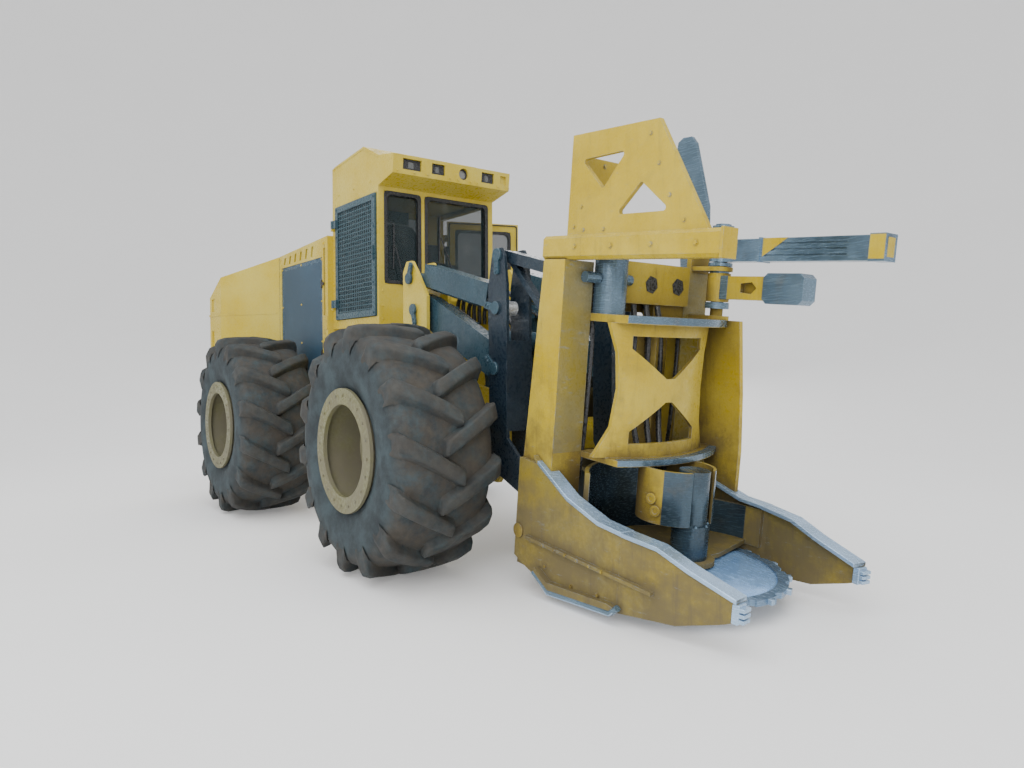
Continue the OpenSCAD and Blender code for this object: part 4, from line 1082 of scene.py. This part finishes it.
# every sub-part: the function that adds its shapes, its body, material, slot and bevel in metres
SUB_PARTS = (
    (seat_pedestal, "rear_body", black_trim, "trim", 0.02),
    (window_seals, "rear_body", seal_rubber, "trim", 0.003),
    (door_seals, "door_body", seal_rubber, "trim", 0.003),
    (door_handle, "door_body", black_trim, "trim", 0),
    (lamp_bezels, "rear_body", black_trim, "trim", 0.002),
    (cab_trim, "rear_body", body_yellow, "yellow", 0.002),
    (wipers, "rear_body", black_trim, "trim", 0),
    (guard_mesh, "guard_body", weave, "dark", 0),
    (guard_bolts, "guard_body", guard_grey, "dark", 0),
    (cab_lining, "rear_body", cab_liner, "trim", 0),
    (cab_controls, "rear_body", black_trim, "trim", 0.012),
    (hood_bolts, "rear_body", body_yellow, "yellow", 0),
    (screen_mesh, "rear_body", punched, "screen", 0),
    (hood_latches, "rear_body", black_trim, "trim", 0.002),
    (vent_shade_sheets, "rear_body", black_trim, "trim", 0),
    (tower_details, "front_body", charcoal, "dark", 0),
    (boom_hoses, "boom_body", hose_black, "trim", 0),
    (boom_clamps, "boom_body", charcoal, "dark", 0.004),
    (lever_pins, "head_body", charcoal, "dark", 0),
    (head_hoses, "head_body", hose_black, "trim", 0),
    (prong_wear, "head_body", edge_steel, "worn", 0.004),
    (head_bolts, "head_body", head_yellow, "yellow", 0),
    (pocket_wear, "head_body", worn_steel, "worn", 0),
    (post_shade_and_wear, "head_body", post_shaded_worn, "yellow", 0),
    (cover_wear, "head_body", column_steel, "worn", 0),
    (cover_bosses, "head_body", head_yellow, "yellow", 0.002),
    (side_skids, "head_body", worn_steel, "worn", 0),
    (wall_wear, "head_body", column_steel, "worn", 0),
    (head_fittings, "head_body", worn_steel, "worn", 0.002),
    (head_lines, "head_body", hose_black, "trim", 0),
    (tooth_tips, "saw_body", edge_steel, "worn", 0.003),
    (disc_dome, "saw_body", disc_steel, "worn", 0),
    (arm_paint, "upper_arm_body", head_yellow, "yellow", 0),
    (arm_end, "lower_arm_body", worn_steel, "worn", 0.003),
)

tyres()
seat()
for add_shapes, body, material, slot, bevel in SUB_PARTS:
    sub_part = bmesh.new()
    add_shapes(sub_part)
    piece(sub_part, add_shapes.__name__, body, material, slot, bevel)


# Floor, light and camera

# radius of the flat floor, radius of the curve behind it, and the top of its wall in metres
FLOOR_R, FLOOR_CURVE, FLOOR_TOP = 8.5, 16, 24
FLOOR_SIDES = 96


def make_floor():
    """Pale ground that rises in a wide curve far behind the machine."""
    bm = bmesh.new()
    profile = [(0.01, 0), (5, 0), (FLOOR_R, 0)]
    profile += [(FLOOR_R + FLOOR_CURVE * sin(a), FLOOR_CURVE * (1 - cos(a)))
                for a in (radians(90 * k / 20) for k in range(1, 21))]
    profile.append((FLOOR_R + FLOOR_CURVE, FLOOR_TOP))
    turns = [tau * k / FLOOR_SIDES for k in range(FLOOR_SIDES)]
    rows = [[bm.verts.new((r * cos(a), r * sin(a), z)) for a in turns] for r, z in profile]
    skin(bm, rows)
    bm.faces.new(rows[0])
    mesh = bpy.data.meshes.new("floor")
    bm.to_mesh(mesh)
    bm.free()
    mesh.shade_smooth()
    mesh.materials.append(floor_pale())
    floor = show("floor", mesh)
    floor.location = (0, 0, -0.001)


def floor_pale():
    """Nearly white matt ground that glows a little, so that shade stays pale."""
    t = Tree("floor_pale")
    t.shade(t.mix(t.noise(0.6, 3), (0.8, 0.79, 0.78), (0.84, 0.83, 0.82)), 0.95,
            {"Emission Color": (1, 1, 1, 1), "Emission Strength": 0.17})
    return t.material


def add_light(name, place, target, size, watts, colour=(1, 1, 1)):
    """Square lamp that looks from its place at a target."""
    data = bpy.data.lights.new(name, "AREA")
    data.size = size
    data.energy = watts
    data.color = colour
    light = show(name, data)
    light.location = place
    light.rotation_euler = (Vector(target) - Vector(place)).to_track_quat("-Z", "Y").to_euler()


def make_world():
    """Even, faintly blue light from all round."""
    world = bpy.data.worlds.new("studio")
    world.use_nodes = True
    sky = world.node_tree.nodes["Background"]
    sky.inputs["Color"].default_value = (0.93, 0.96, 1.0, 1)
    sky.inputs["Strength"].default_value = 0.75
    bpy.context.scene.world = world


def make_camera():
    """The photograph's camera, from its place, yaw, pitch and roll."""
    yaw, pitch = radians(CAMERA_YAW), radians(CAMERA_PITCH)
    ahead = Vector((cos(yaw) * cos(pitch), sin(yaw) * cos(pitch), sin(pitch)))
    data = bpy.data.cameras.new("camera")
    data.sensor_width = CAMERA_SENSOR
    data.lens = CAMERA_LENS
    data.clip_end = 200
    camera = show("camera", data)
    camera.location = at(*CAMERA_AT)
    turn = ahead.to_track_quat("-Z", "Y").to_matrix() @ Matrix.Rotation(
        radians(CAMERA_ROLL), 3, "Z")
    camera.rotation_euler = turn.to_euler()
    bpy.context.scene.camera = camera


make_floor()
add_light("sky", (2, -3, 12), (0, 0, 1), 14, 1500, (0.95, 0.98, 1.0))
add_light("side", (9, -10, 6), (0, 0, 1.5), 8, 900)
add_light("fill", (-9, 8, 6), (0, 0, 1.5), 9, 500)
make_world()
make_camera()
